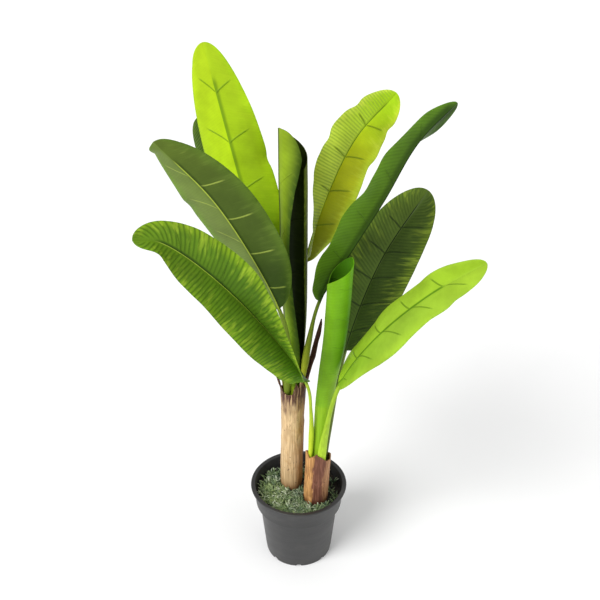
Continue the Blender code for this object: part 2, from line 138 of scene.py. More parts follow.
bpy.ops.mesh.primitive_plane_add(size=FLOOR_SIZE)
floor = bpy.context.active_object
floor.name = "studio_floor"
floor.data.materials.append(plain_material("floor_paper", FLOOR_COLOUR, 0.9))
floor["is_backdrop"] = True

world = bpy.context.scene.world or bpy.data.worlds.new("studio")
bpy.context.scene.world = world
world.use_nodes = True
sky = world.node_tree.nodes["Background"]
sky.inputs["Color"].default_value = (1, 1, 1, 1)
sky.inputs["Strength"].default_value = SKY_STRENGTH
bpy.context.scene.view_settings.view_transform = 'Standard'

for name, lamp in LAMPS.items():
    bpy.ops.object.light_add(type=lamp["kind"], location=lamp["place"])
    light = bpy.context.active_object
    light.name = name
    light.data.angle = math.radians(lamp["size"])
    light.data.energy = lamp["power"]
    x, y, z = lamp["place"]
    light.rotation_euler = (math.atan2(math.hypot(x, y), z), 0, math.atan2(y, x) + math.pi / 2)
print("lamps:", ", ".join(LAMPS))

# %% [markdown]
# ## Helpers for curves and places
# A leaf follows a smooth line through a few points, and its width, its folds and its colours change evenly
# from the base to the tip. These helpers read values and points between the ones that are given. Seeded
# noise gives the small unevenness of pressed plastic and dried bark, the same on every run.

# %% Helpers for curves and places
def spread(values, t):
    """Values that stand at even steps from 0 to 1, read at t."""
    return np.interp(t, np.linspace(0, 1, len(values)), values)


def spread_points(points, t):
    columns = np.array(points, float).T
    return np.stack([spread(column, t) for column in columns], axis=-1)


def unit(vectors):
    return vectors / np.maximum(np.linalg.norm(vectors, axis=-1, keepdims=True), 1e-9)


def looking(azimuth, elevation):
    turn, rise = math.radians(azimuth), math.radians(elevation)
    return np.array((math.cos(rise) * math.cos(turn), math.cos(rise) * math.sin(turn), math.sin(rise)))


def smoothstep(x, low, high):
    t = np.clip((np.asarray(x, float) - low) / (high - low), 0, 1)
    return t * t * (3 - 2 * t)


def smooth_curve(points, per_span=48):
    """A Catmull-Rom curve through the points, with its spans timed by the root of their length."""
    knots = np.array(points, float)
    knots = np.vstack((2 * knots[0] - knots[1], knots, 2 * knots[-1] - knots[-2]))
    curve = []
    for a, b, c, d in zip(knots, knots[1:], knots[2:], knots[3:]):
        times = np.cumsum([0] + [np.linalg.norm(q - p) ** 0.5 for p, q in ((a, b), (b, c), (c, d))])
        t0, t1, t2, t3 = times
        for t in np.linspace(t1, t2, per_span, endpoint=False):
            ab = ((t1 - t) * a + (t - t0) * b) / (t1 - t0)
            bc = ((t2 - t) * b + (t - t1) * c) / (t2 - t1)
            cd = ((t3 - t) * c + (t - t2) * d) / (t3 - t2)
            abc = ((t2 - t) * ab + (t - t0) * bc) / (t2 - t0)
            bcd = ((t3 - t) * bc + (t - t1) * cd) / (t3 - t1)
            curve.append(((t2 - t) * abc + (t - t1) * bcd) / (t2 - t1))
    curve.append(knots[-2])
    return np.array(curve)


def along(curve, shares):
    """Points of the curve and its directions at the given shares of its length."""
    steps = np.linalg.norm(np.diff(curve, axis=0), axis=1)
    lengths = np.concatenate(([0], np.cumsum(steps)))
    at = np.asarray(shares) * lengths[-1]
    slopes = unit(np.gradient(curve, axis=0))
    points = np.stack([np.interp(at, lengths, curve[:, k]) for k in range(3)], axis=1)
    directions = np.stack([np.interp(at, lengths, slopes[:, k]) for k in range(3)], axis=1)
    return points, unit(directions)


def noise(x, y, seed, wrap=0):
    """Smooth noise from -1 to 1 at the places x, y, in cells of 1. A wrap closes it round after that many."""
    table = np.random.default_rng(seed).uniform(-1, 1, (64, 64))
    x, y = np.broadcast_arrays(np.asarray(x, float), np.asarray(y, float))
    i, j = np.floor(x).astype(int), np.floor(y).astype(int)
    fx, fy = smoothstep(x - i, 0, 1), smoothstep(y - j, 0, 1)
    i0, i1 = (i % wrap, (i + 1) % wrap) if wrap else (i, i + 1)
    low = table[i0 % 64, j % 64] * (1 - fx) + table[i1 % 64, j % 64] * fx
    high = table[i0 % 64, (j + 1) % 64] * (1 - fx) + table[i1 % 64, (j + 1) % 64] * fx
    return low * (1 - fy) + high * fy


print("helpers ready")

# %% [markdown]
# ## Helpers for skins
# Leaves, sheaths and trunks are all skins that close round: out along one face, round the edge and back along
# the other. Each starts as a grid primitive. Its points are moved to their places on the real skin, the first
# and last columns are merged into a closed tube, and the open ends are filled. Every point keeps its place on
# the piece in an attribute, which the materials read: across, along, and a measure in millimetres.

# %% Helpers for skins
def grid_shares(columns, rows):
    """A new grid object with the place of each of its points: column and row numbers."""
    deselect_all()
    bpy.ops.mesh.primitive_grid_add(x_subdivisions=columns, y_subdivisions=rows, size=2)
    made = bpy.context.active_object
    points = np.empty(len(made.data.vertices) * 3)
    made.data.vertices.foreach_get("co", points)
    points = points.reshape(-1, 3)
    column = np.rint((points[:, 0] + 1) / 2 * columns).astype(int)
    row = np.rint((points[:, 1] + 1) / 2 * rows).astype(int)
    return made, column, row


def skin(name, places, marks, closed=True, under=None):
    """A skin from an array of places in millimetres (rows, columns, 3) and the marks that its points keep."""
    rows, columns, _ = places.shape
    made, column, row = grid_shares(columns - 1, rows - 1)
    made.name = name
    mesh = made.data
    mesh.name = name
    mesh.vertices.foreach_set("co", (places[row, column] * MM).ravel())
    kept = mesh.attributes.new("place", 'FLOAT_VECTOR', 'POINT')
    kept.data.foreach_set("vector", marks[row, column].ravel())
    if under is not None:
        below = mesh.attributes.new("under", 'FLOAT', 'POINT')
        below.data.foreach_set("value", under[column].astype(float))
    mesh.update()
    bpy.ops.object.mode_set(mode='EDIT')
    bpy.ops.mesh.select_all(action='SELECT')
    if closed:
        bpy.ops.mesh.remove_doubles(threshold=0.00002)
        bpy.ops.mesh.select_all(action='DESELECT')
        bpy.ops.mesh.select_non_manifold(extend=False, use_wire=False, use_multi_face=False,
                                         use_non_contiguous=False, use_verts=False)
        bpy.ops.mesh.fill_holes(sides=0)
        bpy.ops.mesh.select_all(action='SELECT')
    bpy.ops.mesh.normals_make_consistent(inside=False)
    bpy.ops.object.mode_set(mode='OBJECT')
    bpy.ops.object.shade_smooth_by_angle(angle=math.radians(50))
    return made


def keep(piece, slot, *nodes):
    """Fixes a finished piece to the plant and hides the solids that it stands for; its slot is not used."""
    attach(piece, "root")
    if nodes:
        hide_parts(*nodes)
    print(piece.name, "has", len(piece.data.polygons), "faces")
    return piece


# %% [markdown]
# ## Helpers for materials
# The materials are node graphs. This small class adds a node, sets it and links its inputs in one line, so
# that a pattern reads like a formula. Effects that several materials share are made once, as node groups.

# %% Helpers for materials
class Graph:
    """Adds nodes to one node tree. Inputs may be numbers, colours or the sockets of other nodes."""

    def __init__(self, tree):
        self.tree = tree

    def node(self, kind, inputs, output=0, **settings):
        made = self.tree.nodes.new(kind)
        for key, value in settings.items():
            setattr(made, key, value)
        for key, value in inputs.items():
            socket = made.inputs[key]
            if isinstance(value, bpy.types.NodeSocket):
                self.tree.links.new(value, socket)
            elif isinstance(value, tuple) and len(value) == 3 and socket.type == 'RGBA':
                socket.default_value = (*value, 1)
            else:
                socket.default_value = value
        return made.outputs[output]

    def math(self, operation, a, b=0.0, c=0.0, clamp=False):
        return self.node("ShaderNodeMath", {0: a, 1: b, 2: c}, operation=operation, use_clamp=clamp)

    def ramp(self, value, low, high, to_low=0.0, to_high=1.0):
        """A smooth step of the value between two places."""
        inputs = {"Value": value, "From Min": low, "From Max": high, "To Min": to_low, "To Max": to_high}
        return self.node("ShaderNodeMapRange", inputs, interpolation_type='SMOOTHSTEP')

    def mix(self, share, a, b, blend='MIX'):
        """A mix of two colours by a share."""
        return self.node("ShaderNodeMix", {0: share, 6: a, 7: b}, output=2, data_type='RGBA', blend_type=blend)

    def noise(self, vector, scale, detail=3.0, roughness=0.55, output=0, **inputs):
        values = {"Vector": vector, "Scale": scale, "Detail": detail, "Roughness": roughness, **inputs}
        return self.node("ShaderNodeTexNoise", values, output=output)

    def stretch(self, vector, scale):
        return self.node("ShaderNodeMapping", {"Vector": vector, "Scale": scale})

    def split(self, vector):
        made = self.tree.nodes.new("ShaderNodeSeparateXYZ")
        self.tree.links.new(vector, made.inputs[0])
        return made.outputs

    def join(self, x, y, z):
        return self.node("ShaderNodeCombineXYZ", {0: x, 1: y, 2: z})


def new_group(name, inputs, outputs):
    """A shader node group with named sockets, its graph, its inputs and the node that takes its outputs."""
    tree = bpy.data.node_groups.new(name, 'ShaderNodeTree')
    kinds = {"colour": 'NodeSocketColor', "value": 'NodeSocketFloat', "vector": 'NodeSocketVector'}
    for label, kind in inputs.items():
        tree.interface.new_socket(name=label, in_out='INPUT', socket_type=kinds[kind])
    for label, kind in outputs.items():
        tree.interface.new_socket(name=label, in_out='OUTPUT', socket_type=kinds[kind])
    given = tree.nodes.new("NodeGroupInput").outputs
    taken = tree.nodes.new("NodeGroupOutput").inputs
    return tree, Graph(tree), given, taken


def new_material(name):
    """An empty material, its graph, its shader and the object coordinates of the piece."""
    made = bpy.data.materials.new(name)
    made.use_nodes = True
    tree = made.node_tree
    graph = Graph(tree)
    coordinates = tree.nodes.new("ShaderNodeTexCoord").outputs["Object"]
    return made, graph, tree.nodes["Principled BSDF"], coordinates


def use_group(graph, group, values, coordinates):
    """Places a node group with its own values and returns its outputs."""
    made = graph.tree.nodes.new("ShaderNodeGroup")
    made.node_tree = group
    for label, value in values.items():
        socket = made.inputs[label]
        if isinstance(value, bpy.types.NodeSocket):
            graph.tree.links.new(value, socket)
        elif socket.type == 'RGBA':
            socket.default_value = (*value, 1)
        else:
            socket.default_value = value
    graph.tree.links.new(coordinates, made.inputs["Coordinates"])
    return made.outputs


def finish_shader(graph, shader, colour, roughness, height, depth, **constants):
    """Links colour, roughness and a bump of the given depth in metres to the shader."""
    graph.tree.links.new(colour, shader.inputs["Base Color"])
    if isinstance(roughness, bpy.types.NodeSocket):
        graph.tree.links.new(roughness, shader.inputs["Roughness"])
    else:
        shader.inputs["Roughness"].default_value = roughness
    bump = graph.node("ShaderNodeBump", {"Height": height, "Distance": depth, "Strength": 1.0})
    graph.tree.links.new(bump, shader.inputs["Normal"])
    for label, value in constants.items():
        shader.inputs[label.replace("_", " ")].default_value = value


print("material helpers ready")

# %% [markdown]
# ## The leaf finish
# A leaf of such a plant is printed fabric or pressed plastic. Its two halves differ in colour, partly in print and
# partly by painted light and shade, a rib runs down the middle with painted crease shading along both sides, a few
# side ribs leave it in pairs, and fine veins cross each half from the rib to the edge. One node group paints all
# of this from the place of a point on the leaf, and each leaf sets its own colours and counts. The place holds the
# share across from -1 to 1, the share along from the base to the tip, below 0 on the stalk, and the distance from
# the rib in millimetres.

# %% The leaf finish
LEAF_INPUTS = {
    "Coordinates": 'vector', "Place": 'vector', "Under": 'value',
    "Left Base": 'colour', "Left Middle": 'colour', "Left Tip": 'colour',
    "Right Base": 'colour', "Right Middle": 'colour', "Right Tip": 'colour',
    "Left Edge": 'colour', "Right Edge": 'colour', "Edge Start": 'value',
    "Stalk Foot": 'colour', "Stalk Top": 'colour', "Under Tint And Shade": 'colour',
    "Rib Colour": 'colour', "Rib Width": 'value', "Rib End": 'value',
    "Crease Shading Colour": 'colour', "Crease Shading Left": 'value', "Crease Shading Right": 'value', "Crease Shading Width": 'value',
    "Side Rib Colour": 'colour', "Side Ribs": 'value', "Side Rib Strength": 'value',
    "Left Offset": 'value', "Right Offset": 'value', "Left Lean": 'value', "Right Lean": 'value',
    "Length": 'value', "Veins": 'value', "Vein Lean": 'value', "Left Veins": 'value', "Right Veins": 'value',
    "Vein Colour": 'colour', "Streaks": 'value', "Streak Colour": 'colour',
}
LEAF_OUTPUTS = {"Colour": 'colour', "Height": 'value', "Roughness": 'value'}


def leaf_group():
    tree, g, given, taken = new_group("leaf_finish", LEAF_INPUTS, LEAF_OUTPUTS)
    across, length_share, distance = g.split(given["Place"])
    reach = g.math('ABSOLUTE', across)
    far = g.math('ABSOLUTE', distance)
    on_right = g.ramp(across, -0.01, 0.01)
    t = g.math('MAXIMUM', length_share, 0.0)

    # Each half's colours hold its print and also painted light and shade: lighter on the half that faces the light.
    halves = []
    for side in ("Left", "Right"):
        low = g.mix(g.ramp(t, 0.0, 0.5), given[side + " Base"], given[side + " Middle"])
        whole = g.mix(g.ramp(t, 0.5, 1.0), low, given[side + " Tip"])
        rim = g.ramp(reach, given["Edge Start"], 1.0)
        halves.append(g.mix(rim, whole, given[side + " Edge"]))
    colour = g.mix(on_right, halves[0], halves[1])

    wander = g.noise(given["Coordinates"], 38.0, detail=2.0)
    lean = g.math('MULTIPLY', reach, given["Vein Lean"])
    lines = g.math('SUBTRACT', t, lean)
    lines = g.math('MULTIPLY_ADD', wander, 0.006, lines)
    turns = g.math('MULTIPLY', g.math('MULTIPLY', lines, given["Veins"]), math.tau)
    vein = g.math('MULTIPLY_ADD', g.math('SINE', turns), 0.5, 0.5)
    vein_strength = g.node("ShaderNodeMix", {0: on_right, 2: given["Left Veins"], 3: given["Right Veins"]})
    open_part = g.math('MULTIPLY', g.ramp(far, 2.0, 8.0), g.ramp(length_share, 0.0, 0.04))
    vein_strength = g.math('MULTIPLY', vein_strength, open_part)
    dark_lines = g.math('MULTIPLY', g.math('POWER', vein, 2.0), vein_strength)
    colour = g.mix(dark_lines, colour, given["Vein Colour"])

    bands = g.join(g.math('MULTIPLY', reach, 1.6), g.math('MULTIPLY', lines, 62.0), across)
    streak = g.noise(bands, 1.0, detail=2.0)
    streak = g.ramp(streak, 0.5, 0.68)
    streak = g.math('MULTIPLY', g.math('MULTIPLY', streak, given["Streaks"]), g.ramp(reach, 0.15, 0.85))
    colour = g.mix(g.math('MULTIPLY', streak, open_part), colour, given["Streak Colour"])

    offset = g.node("ShaderNodeMix", {0: on_right, 2: given["Left Offset"], 3: given["Right Offset"]})
    slant = g.node("ShaderNodeMix", {0: on_right, 2: given["Left Lean"], 3: given["Right Lean"]})
    bow = g.math('MULTIPLY', g.math('POWER', reach, 0.7), slant)
    phase = g.math('MULTIPLY', g.math('SUBTRACT', g.math('SUBTRACT', t, offset), bow), given["Side Ribs"])
    from_line = g.math('ABSOLUTE', g.math('SUBTRACT', g.math('FRACT', g.math('ADD', phase, 10.5)), 0.5))
    from_line = g.math('MULTIPLY', g.math('DIVIDE', from_line, given["Side Ribs"]), given["Length"])
    side_rib = g.ramp(from_line, 0.5, 1.9, 1.0, 0.0)
    shown = g.math('MULTIPLY', g.ramp(reach, 0.52, 0.74, 1.0, 0.0), g.ramp(far, 0.8, 2.0))
    shown = g.math('MULTIPLY', shown, g.math('MULTIPLY', g.ramp(t, 0.03, 0.08), g.ramp(t, 0.86, 0.9, 1.0, 0.0)))
    side_rib = g.math('MULTIPLY', side_rib, shown)
    painted = g.math('MULTIPLY', side_rib, given["Side Rib Strength"])
    colour = g.mix(painted, colour, given["Side Rib Colour"])

    rib_shown = g.ramp(t, g.math('SUBTRACT', given["Rib End"], 0.05), given["Rib End"], 1.0, 0.0)
    # Painted crease shading on each side of the rib: painted shade on most leaves, lighter beside the dark rib of
    # the back right leaf.
    for side, sign in (("Crease Shading Left", -1.0), ("Crease Shading Right", 1.0)):
        out = g.math('MULTIPLY', distance, sign)
        shade = g.ramp(out, g.math('MULTIPLY', given["Crease Shading Width"], 0.25), given["Crease Shading Width"], 1.0, 0.0)
        shade = g.math('MULTIPLY', shade, g.ramp(out, -0.6, 0.6))
        shade = g.math('MULTIPLY', g.math('MULTIPLY', shade, given[side]), rib_shown)
        colour = g.mix(shade, colour, given["Crease Shading Colour"])
    # The rib line: where it is darker than the blade it is painted shade in the rib's channel, and where it is
    # lighter it is the rib's own colour.
    rib = g.ramp(far, g.math('MULTIPLY', given["Rib Width"], 0.6), given["Rib Width"], 1.0, 0.0)
    rib = g.math('MULTIPLY', rib, rib_shown)
    colour = g.mix(rib, colour, given["Rib Colour"])

    mottle = g.noise(given["Coordinates"], 24.0, detail=4.0)
    shade = g.ramp(mottle, 0.3, 0.7, 0.86, 1.1)
    colour = g.mix(1.0, colour, g.join(shade, shade, shade), blend='MULTIPLY')
    # On the face marked as under the colour is multiplied by the under tint: the underside's own tint on the open
    # leaves, and painted shade on the inner face of the rolled leaves.
    colour = g.mix(given["Under"], colour, g.mix(1.0, colour, given["Under Tint And Shade"], blend='MULTIPLY'))

    stalk = g.mix(g.ramp(length_share, -1.0, -0.15), given["Stalk Foot"], given["Stalk Top"])
    fibres = g.noise(g.stretch(given["Coordinates"], (500.0, 500.0, 20.0)), 1.0, detail=2.0)
    pale = g.ramp(fibres, 0.3, 0.7, 0.88, 1.1)
    stalk = g.mix(1.0, stalk, g.join(pale, pale, pale), blend='MULTIPLY')
    on_blade = g.ramp(length_share, -0.05, 0.015)
    colour = g.mix(on_blade, stalk, colour)

    grain = g.noise(given["Coordinates"], 900.0, detail=2.0)
    height = g.math('MULTIPLY', g.math('MULTIPLY', vein, vein_strength), 0.8)
    height = g.math('ADD', height, g.math('MULTIPLY', side_rib, 1.6))
    height = g.math('MULTIPLY_ADD', grain, 0.25, height)
    height = g.math('MULTIPLY_ADD', g.math('MULTIPLY', fibres, g.math('SUBTRACT', 1.0, on_blade)), 0.5, height)
    rough = g.math('MULTIPLY_ADD', mottle, 0.25, 0.32)
    tree.links.new(colour, taken["Colour"])
    tree.links.new(height, taken["Height"])
    tree.links.new(rough, taken["Roughness"])
    return tree


LEAF_GROUP = leaf_group()
print("leaf finish has", len(LEAF_GROUP.nodes), "nodes")

# %% [markdown]
# ## The colours of each leaf
# The young leaves are a bright yellow green and the old ones a deep green. Each half has a colour for its base,
# its middle and its tip, and one for its edge. The halves are printed a little differently, and their colours also
# hold painted light and shade: the half that faces the light is painted lighter and the other darker. A leaf that
# is named here only changes what differs from the rest.

# %% The colours of each leaf
LEAF_DEFAULTS = {
    "Edge Start": 0.6, "Under Tint And Shade": (0.72, 0.78, 0.8), "Rib Width": 0.9, "Rib End": 0.9,
    "Crease Shading Left": 0.0, "Crease Shading Right": 0.6, "Crease Shading Width": 5.0, "Side Ribs": 5.0, "Side Rib Strength": 0.8,
    "Left Offset": 0.0, "Right Offset": 0.0, "Left Lean": 0.08, "Right Lean": 0.08,
    "Veins": 70.0, "Vein Lean": -0.05, "Left Veins": 0.1, "Right Veins": 0.1, "Streaks": 0.2,
}
LEAF_FINISHES = {
    "leaf_high_left": {
        "Left Base": (0.38, 0.60, 0.006), "Left Middle": (0.40, 0.60, 0.008), "Left Tip": (0.38, 0.54, 0.012),
        "Right Base": (0.22, 0.48, 0.006), "Right Middle": (0.32, 0.50, 0.010), "Right Tip": (0.34, 0.50, 0.012),
        "Left Edge": (0.42, 0.62, 0.012), "Right Edge": (0.36, 0.58, 0.008),
        "Stalk Foot": (0.62, 0.60, 0.04), "Stalk Top": (0.42, 0.52, 0.03),
        "Rib Colour": (0.16, 0.30, 0.008), "Crease Shading Colour": (0.11, 0.21, 0.008), "Crease Shading Right": 0.75,
        "Crease Shading Width": 7.0, "Rib Width": 0.8, "Rib End": 0.88,
        "Side Rib Colour": (0.14, 0.27, 0.006), "Left Lean": 0.10, "Right Lean": 0.05,
        "Vein Colour": (0.24, 0.36, 0.01), "Streak Colour": (0.48, 0.64, 0.02), "Veins": 85.0,
    },
    "leaf_mid_left": {
        "Left Base": (0.22, 0.32, 0.07), "Left Middle": (0.17, 0.24, 0.05), "Left Tip": (0.15, 0.22, 0.04),
        "Right Base": (0.050, 0.095, 0.014), "Right Middle": (0.075, 0.120, 0.018),
        "Right Tip": (0.10, 0.15, 0.02),
        "Left Edge": (0.16, 0.28, 0.03), "Right Edge": (0.10, 0.17, 0.02),
        "Stalk Foot": (0.16, 0.22, 0.02), "Stalk Top": (0.22, 0.30, 0.04),
        "Rib Colour": (0.40, 0.50, 0.06), "Rib Width": 1.0, "Crease Shading Colour": (0.02, 0.045, 0.006),
        "Crease Shading Right": 0.7, "Crease Shading Left": 0.15, "Crease Shading Width": 6.0,
        "Side Rib Colour": (0.40, 0.50, 0.09), "Left Offset": 0.18, "Right Offset": 0.13,
        "Left Lean": 0.12, "Right Lean": -0.06, "Side Rib Strength": 0.75,
        "Vein Colour": (0.05, 0.09, 0.012), "Streak Colour": (0.20, 0.30, 0.05), "Veins": 80.0,
    },
    "leaf_low_left": {
        "Left Base": (0.09, 0.22, 0.008), "Left Middle": (0.095, 0.20, 0.010), "Left Tip": (0.13, 0.25, 0.012),
        "Right Base": (0.10, 0.24, 0.010), "Right Middle": (0.075, 0.165, 0.010),
        "Right Tip": (0.12, 0.23, 0.012),
        "Left Edge": (0.17, 0.32, 0.012), "Right Edge": (0.20, 0.34, 0.012),
        "Stalk Foot": (0.52, 0.66, 0.03), "Stalk Top": (0.36, 0.50, 0.04),
        "Rib Colour": (0.34, 0.46, 0.05), "Rib Width": 0.9, "Crease Shading Colour": (0.015, 0.045, 0.004),
        "Crease Shading Right": 0.85, "Crease Shading Left": 0.0, "Crease Shading Width": 6.0, "Rib End": 0.93,
        "Side Rib Colour": (0.05, 0.11, 0.01), "Side Rib Strength": 0.25,
        "Vein Colour": (0.05, 0.115, 0.006), "Veins": 58.0, "Left Veins": 0.7, "Right Veins": 0.7,
        "Vein Lean": 0.05, "Streaks": 0.75, "Streak Colour": (0.30, 0.44, 0.03),
    },
    "leaf_back_left": {
        "Left Base": (0.06, 0.11, 0.012), "Left Middle": (0.06, 0.11, 0.012), "Left Tip": (0.07, 0.13, 0.014),
        "Right Base": (0.06, 0.11, 0.012), "Right Middle": (0.06, 0.11, 0.012), "Right Tip": (0.07, 0.13, 0.014),
        "Left Edge": (0.09, 0.17, 0.014), "Right Edge": (0.09, 0.17, 0.014),
        "Stalk Foot": (0.34, 0.42, 0.03), "Stalk Top": (0.20, 0.28, 0.02),
        "Rib Colour": (0.03, 0.06, 0.006), "Crease Shading Colour": (0.02, 0.04, 0.005),
        "Side Rib Colour": (0.03, 0.06, 0.006), "Vein Colour": (0.025, 0.05, 0.008),
        "Left Veins": 0.7, "Right Veins": 0.7, "Veins": 60.0, "Streaks": 0.4, "Streak Colour": (0.13, 0.2, 0.03),
    },
    "leaf_high_right": {
        "Left Base": (0.46, 0.54, 0.02), "Left Middle": (0.52, 0.66, 0.06), "Left Tip": (0.34, 0.56, 0.008),
        "Right Base": (0.24, 0.26, 0.008), "Right Middle": (0.42, 0.46, 0.010), "Right Tip": (0.34, 0.56, 0.010),
        "Left Edge": (0.50, 0.64, 0.06), "Right Edge": (0.50, 0.64, 0.03),
        "Stalk Foot": (0.30, 0.34, 0.03), "Stalk Top": (0.30, 0.36, 0.03),
        "Rib Colour": (0.15, 0.26, 0.008), "Rib Width": 1.0, "Crease Shading Colour": (0.28, 0.42, 0.012),
        "Crease Shading Left": 0.6, "Crease Shading Right": 0.0, "Crease Shading Width": 5.0, "Rib End": 0.95,
        "Side Rib Colour": (0.14, 0.22, 0.006), "Side Ribs": 5.2, "Left Offset": 0.19, "Right Offset": 0.19,
        "Left Lean": 0.02, "Right Lean": 0.06,
        "Vein Colour": (0.25, 0.40, 0.03), "Veins": 68.0, "Left Veins": 0.75, "Right Veins": 0.12,
        "Vein Lean": 0.0, "Streaks": 0.35, "Streak Colour": (0.62, 0.72, 0.06),
    },
    "leaf_folded_right": {
        "Left Base": (0.03, 0.06, 0.006), "Left Middle": (0.03, 0.07, 0.008), "Left Tip": (0.06, 0.12, 0.012),
        "Right Base": (0.10, 0.22, 0.012), "Right Middle": (0.10, 0.20, 0.012), "Right Tip": (0.07, 0.15, 0.012),
        "Left Edge": (0.06, 0.13, 0.01), "Right Edge": (0.13, 0.27, 0.014), "Edge Start": 0.1,
        "Stalk Foot": (0.40, 0.42, 0.02), "Stalk Top": (0.16, 0.24, 0.02), "Under Tint And Shade": (0.8, 0.85, 0.9),
        "Rib Colour": (0.02, 0.045, 0.005), "Rib Width": 1.2, "Crease Shading Colour": (0.02, 0.045, 0.005),
        "Crease Shading Left": 0.7, "Crease Shading Right": 0.7, "Crease Shading Width": 14.0, "Rib End": 1.0,
        "Side Rib Colour": (0.04, 0.09, 0.008), "Side Rib Strength": 0.2,
        "Vein Colour": (0.05, 0.10, 0.008), "Veins": 60.0, "Left Veins": 0.3, "Right Veins": 0.3,
        "Streaks": 0.3, "Streak Colour": (0.14, 0.27, 0.02),
    },
    "leaf_back_right": {
        "Left Base": (0.055, 0.105, 0.012), "Left Middle": (0.07, 0.115, 0.018), "Left Tip": (0.08, 0.13, 0.016),
        "Right Base": (0.040, 0.075, 0.010), "Right Middle": (0.040, 0.070, 0.010),
        "Right Tip": (0.06, 0.10, 0.014),
        "Left Edge": (0.09, 0.15, 0.018), "Right Edge": (0.11, 0.17, 0.014),
        "Stalk Foot": (0.16, 0.20, 0.06), "Stalk Top": (0.14, 0.19, 0.04),
        "Rib Colour": (0.012, 0.026, 0.005), "Rib Width": 1.1, "Crease Shading Colour": (0.13, 0.20, 0.05),
        "Crease Shading Right": 0.55, "Crease Shading Left": 0.0, "Crease Shading Width": 2.6, "Rib End": 0.93,
        "Side Rib Colour": (0.016, 0.032, 0.006), "Side Ribs": 6.2, "Left Offset": 0.10, "Right Offset": 0.10,
        "Left Lean": 0.03, "Right Lean": 0.10,
        "Vein Colour": (0.025, 0.05, 0.007), "Veins": 52.0, "Left Veins": 0.45, "Right Veins": 0.6,
        "Vein Lean": 0.10, "Streaks": 0.6, "Streak Colour": (0.22, 0.30, 0.03),
    },
    "leaf_low_right": {
        "Left Base": (0.28, 0.48, 0.02), "Left Middle": (0.30, 0.48, 0.03), "Left Tip": (0.28, 0.46, 0.02),
        "Right Base": (0.24, 0.44, 0.02), "Right Middle": (0.25, 0.41, 0.03), "Right Tip": (0.32, 0.50, 0.03),
        "Left Edge": (0.34, 0.54, 0.03), "Right Edge": (0.30, 0.48, 0.03),
        "Stalk Foot": (0.44, 0.66, 0.04), "Stalk Top": (0.30, 0.46, 0.03),
        "Rib Colour": (0.10, 0.22, 0.008), "Rib Width": 2.6, "Crease Shading Colour": (0.22, 0.38, 0.015),
        "Crease Shading Left": 0.3, "Crease Shading Right": 0.3, "Crease Shading Width": 7.0, "Rib End": 0.80,
        "Side Rib Colour": (0.10, 0.20, 0.008), "Side Ribs": 5.2, "Left Offset": 0.20, "Right Offset": 0.20,
        "Left Lean": -0.06, "Right Lean": 0.14,
        "Vein Colour": (0.22, 0.36, 0.02), "Veins": 75.0, "Left Veins": 0.06, "Right Veins": 0.06,
        "Streaks": 0.12, "Streak Colour": (0.36, 0.54, 0.04),
    },
    # On the rolled leaves these colours also paint the light and shade of a roll lit from the left. On the tall one
    # the right half, which makes the front flap, is lighter and darkens towards its edge with painted shade, and the
    # left half, which turns away, is painted dark shade. On both the under tint darkens the inner face with painted
    # shade.
    "leaf_rolled_tall": {
        "Left Base": (0.02, 0.04, 0.006), "Left Middle": (0.05, 0.09, 0.012), "Left Tip": (0.10, 0.14, 0.012),
        "Right Base": (0.20, 0.36, 0.012), "Right Middle": (0.22, 0.34, 0.016), "Right Tip": (0.26, 0.38, 0.018),
        "Left Edge": (0.09, 0.12, 0.01), "Right Edge": (0.05, 0.10, 0.010), "Edge Start": 0.15,
        "Stalk Foot": (0.40, 0.56, 0.02), "Stalk Top": (0.30, 0.44, 0.02), "Under Tint And Shade": (0.28, 0.32, 0.4),
        "Rib Colour": (0.24, 0.36, 0.02), "Rib Width": 1.0, "Crease Shading Colour": (0.2, 0.32, 0.02),
        "Crease Shading Right": 0.2, "Rib End": 0.95, "Side Rib Colour": (0.2, 0.3, 0.02), "Side Rib Strength": 0.0,
        "Vein Colour": (0.10, 0.16, 0.01), "Veins": 60.0, "Streaks": 0.15, "Streak Colour": (0.3, 0.42, 0.03),
    },
    "leaf_rolled_short": {
        "Left Base": (0.26, 0.46, 0.03), "Left Middle": (0.12, 0.30, 0.012), "Left Tip": (0.16, 0.42, 0.010),
        "Right Base": (0.24, 0.44, 0.02), "Right Middle": (0.12, 0.28, 0.012), "Right Tip": (0.14, 0.36, 0.010),
        "Left Edge": (0.18, 0.40, 0.012), "Right Edge": (0.10, 0.24, 0.010), "Edge Start": 0.2,
        "Stalk Foot": (0.30, 0.50, 0.02), "Stalk Top": (0.26, 0.46, 0.02), "Under Tint And Shade": (0.4, 0.5, 0.5),
        "Rib Colour": (0.14, 0.28, 0.012), "Rib Width": 1.0, "Crease Shading Colour": (0.10, 0.22, 0.01),
        "Crease Shading Right": 0.2, "Rib End": 0.95, "Side Rib Colour": (0.1, 0.2, 0.01), "Side Rib Strength": 0.0,
        "Vein Colour": (0.08, 0.16, 0.01), "Veins": 50.0, "Streaks": 0.15, "Streak Colour": (0.2, 0.42, 0.03),
    },
}


def leaf_material(name, length):
    made, graph, shader, coordinates = new_material(name + "_finish")
    place = graph.node("ShaderNodeAttribute", {}, output=1, attribute_name="place")
    under = graph.node("ShaderNodeAttribute", {}, output=2, attribute_name="under")
    values = {**LEAF_DEFAULTS, **LEAF_FINISHES[name], "Length": length, "Place": place, "Under": under}
    outputs = use_group(graph, LEAF_GROUP, values, coordinates)
    finish_shader(graph, shader, outputs["Colour"], outputs["Roughness"], outputs["Height"], 0.00035,
                  Specular_IOR_Level=0.08)
    return made


# %% [markdown]
# ## The open leaves
# Each open leaf grows from a stalk in its trunk's crown. Its blade is a long oval whose halves fold up or down
# along the rib, curl towards the edge and wave. It is made as one closed skin: the grid runs over the upper
# face, round the edge and back along the lower face, where the rib stands out. The spine's points, the faces,
# folds and waves are the same as in the solids, and the finer grid adds the groove over the rib, the ripple
# of the edge and the relief of the veins.

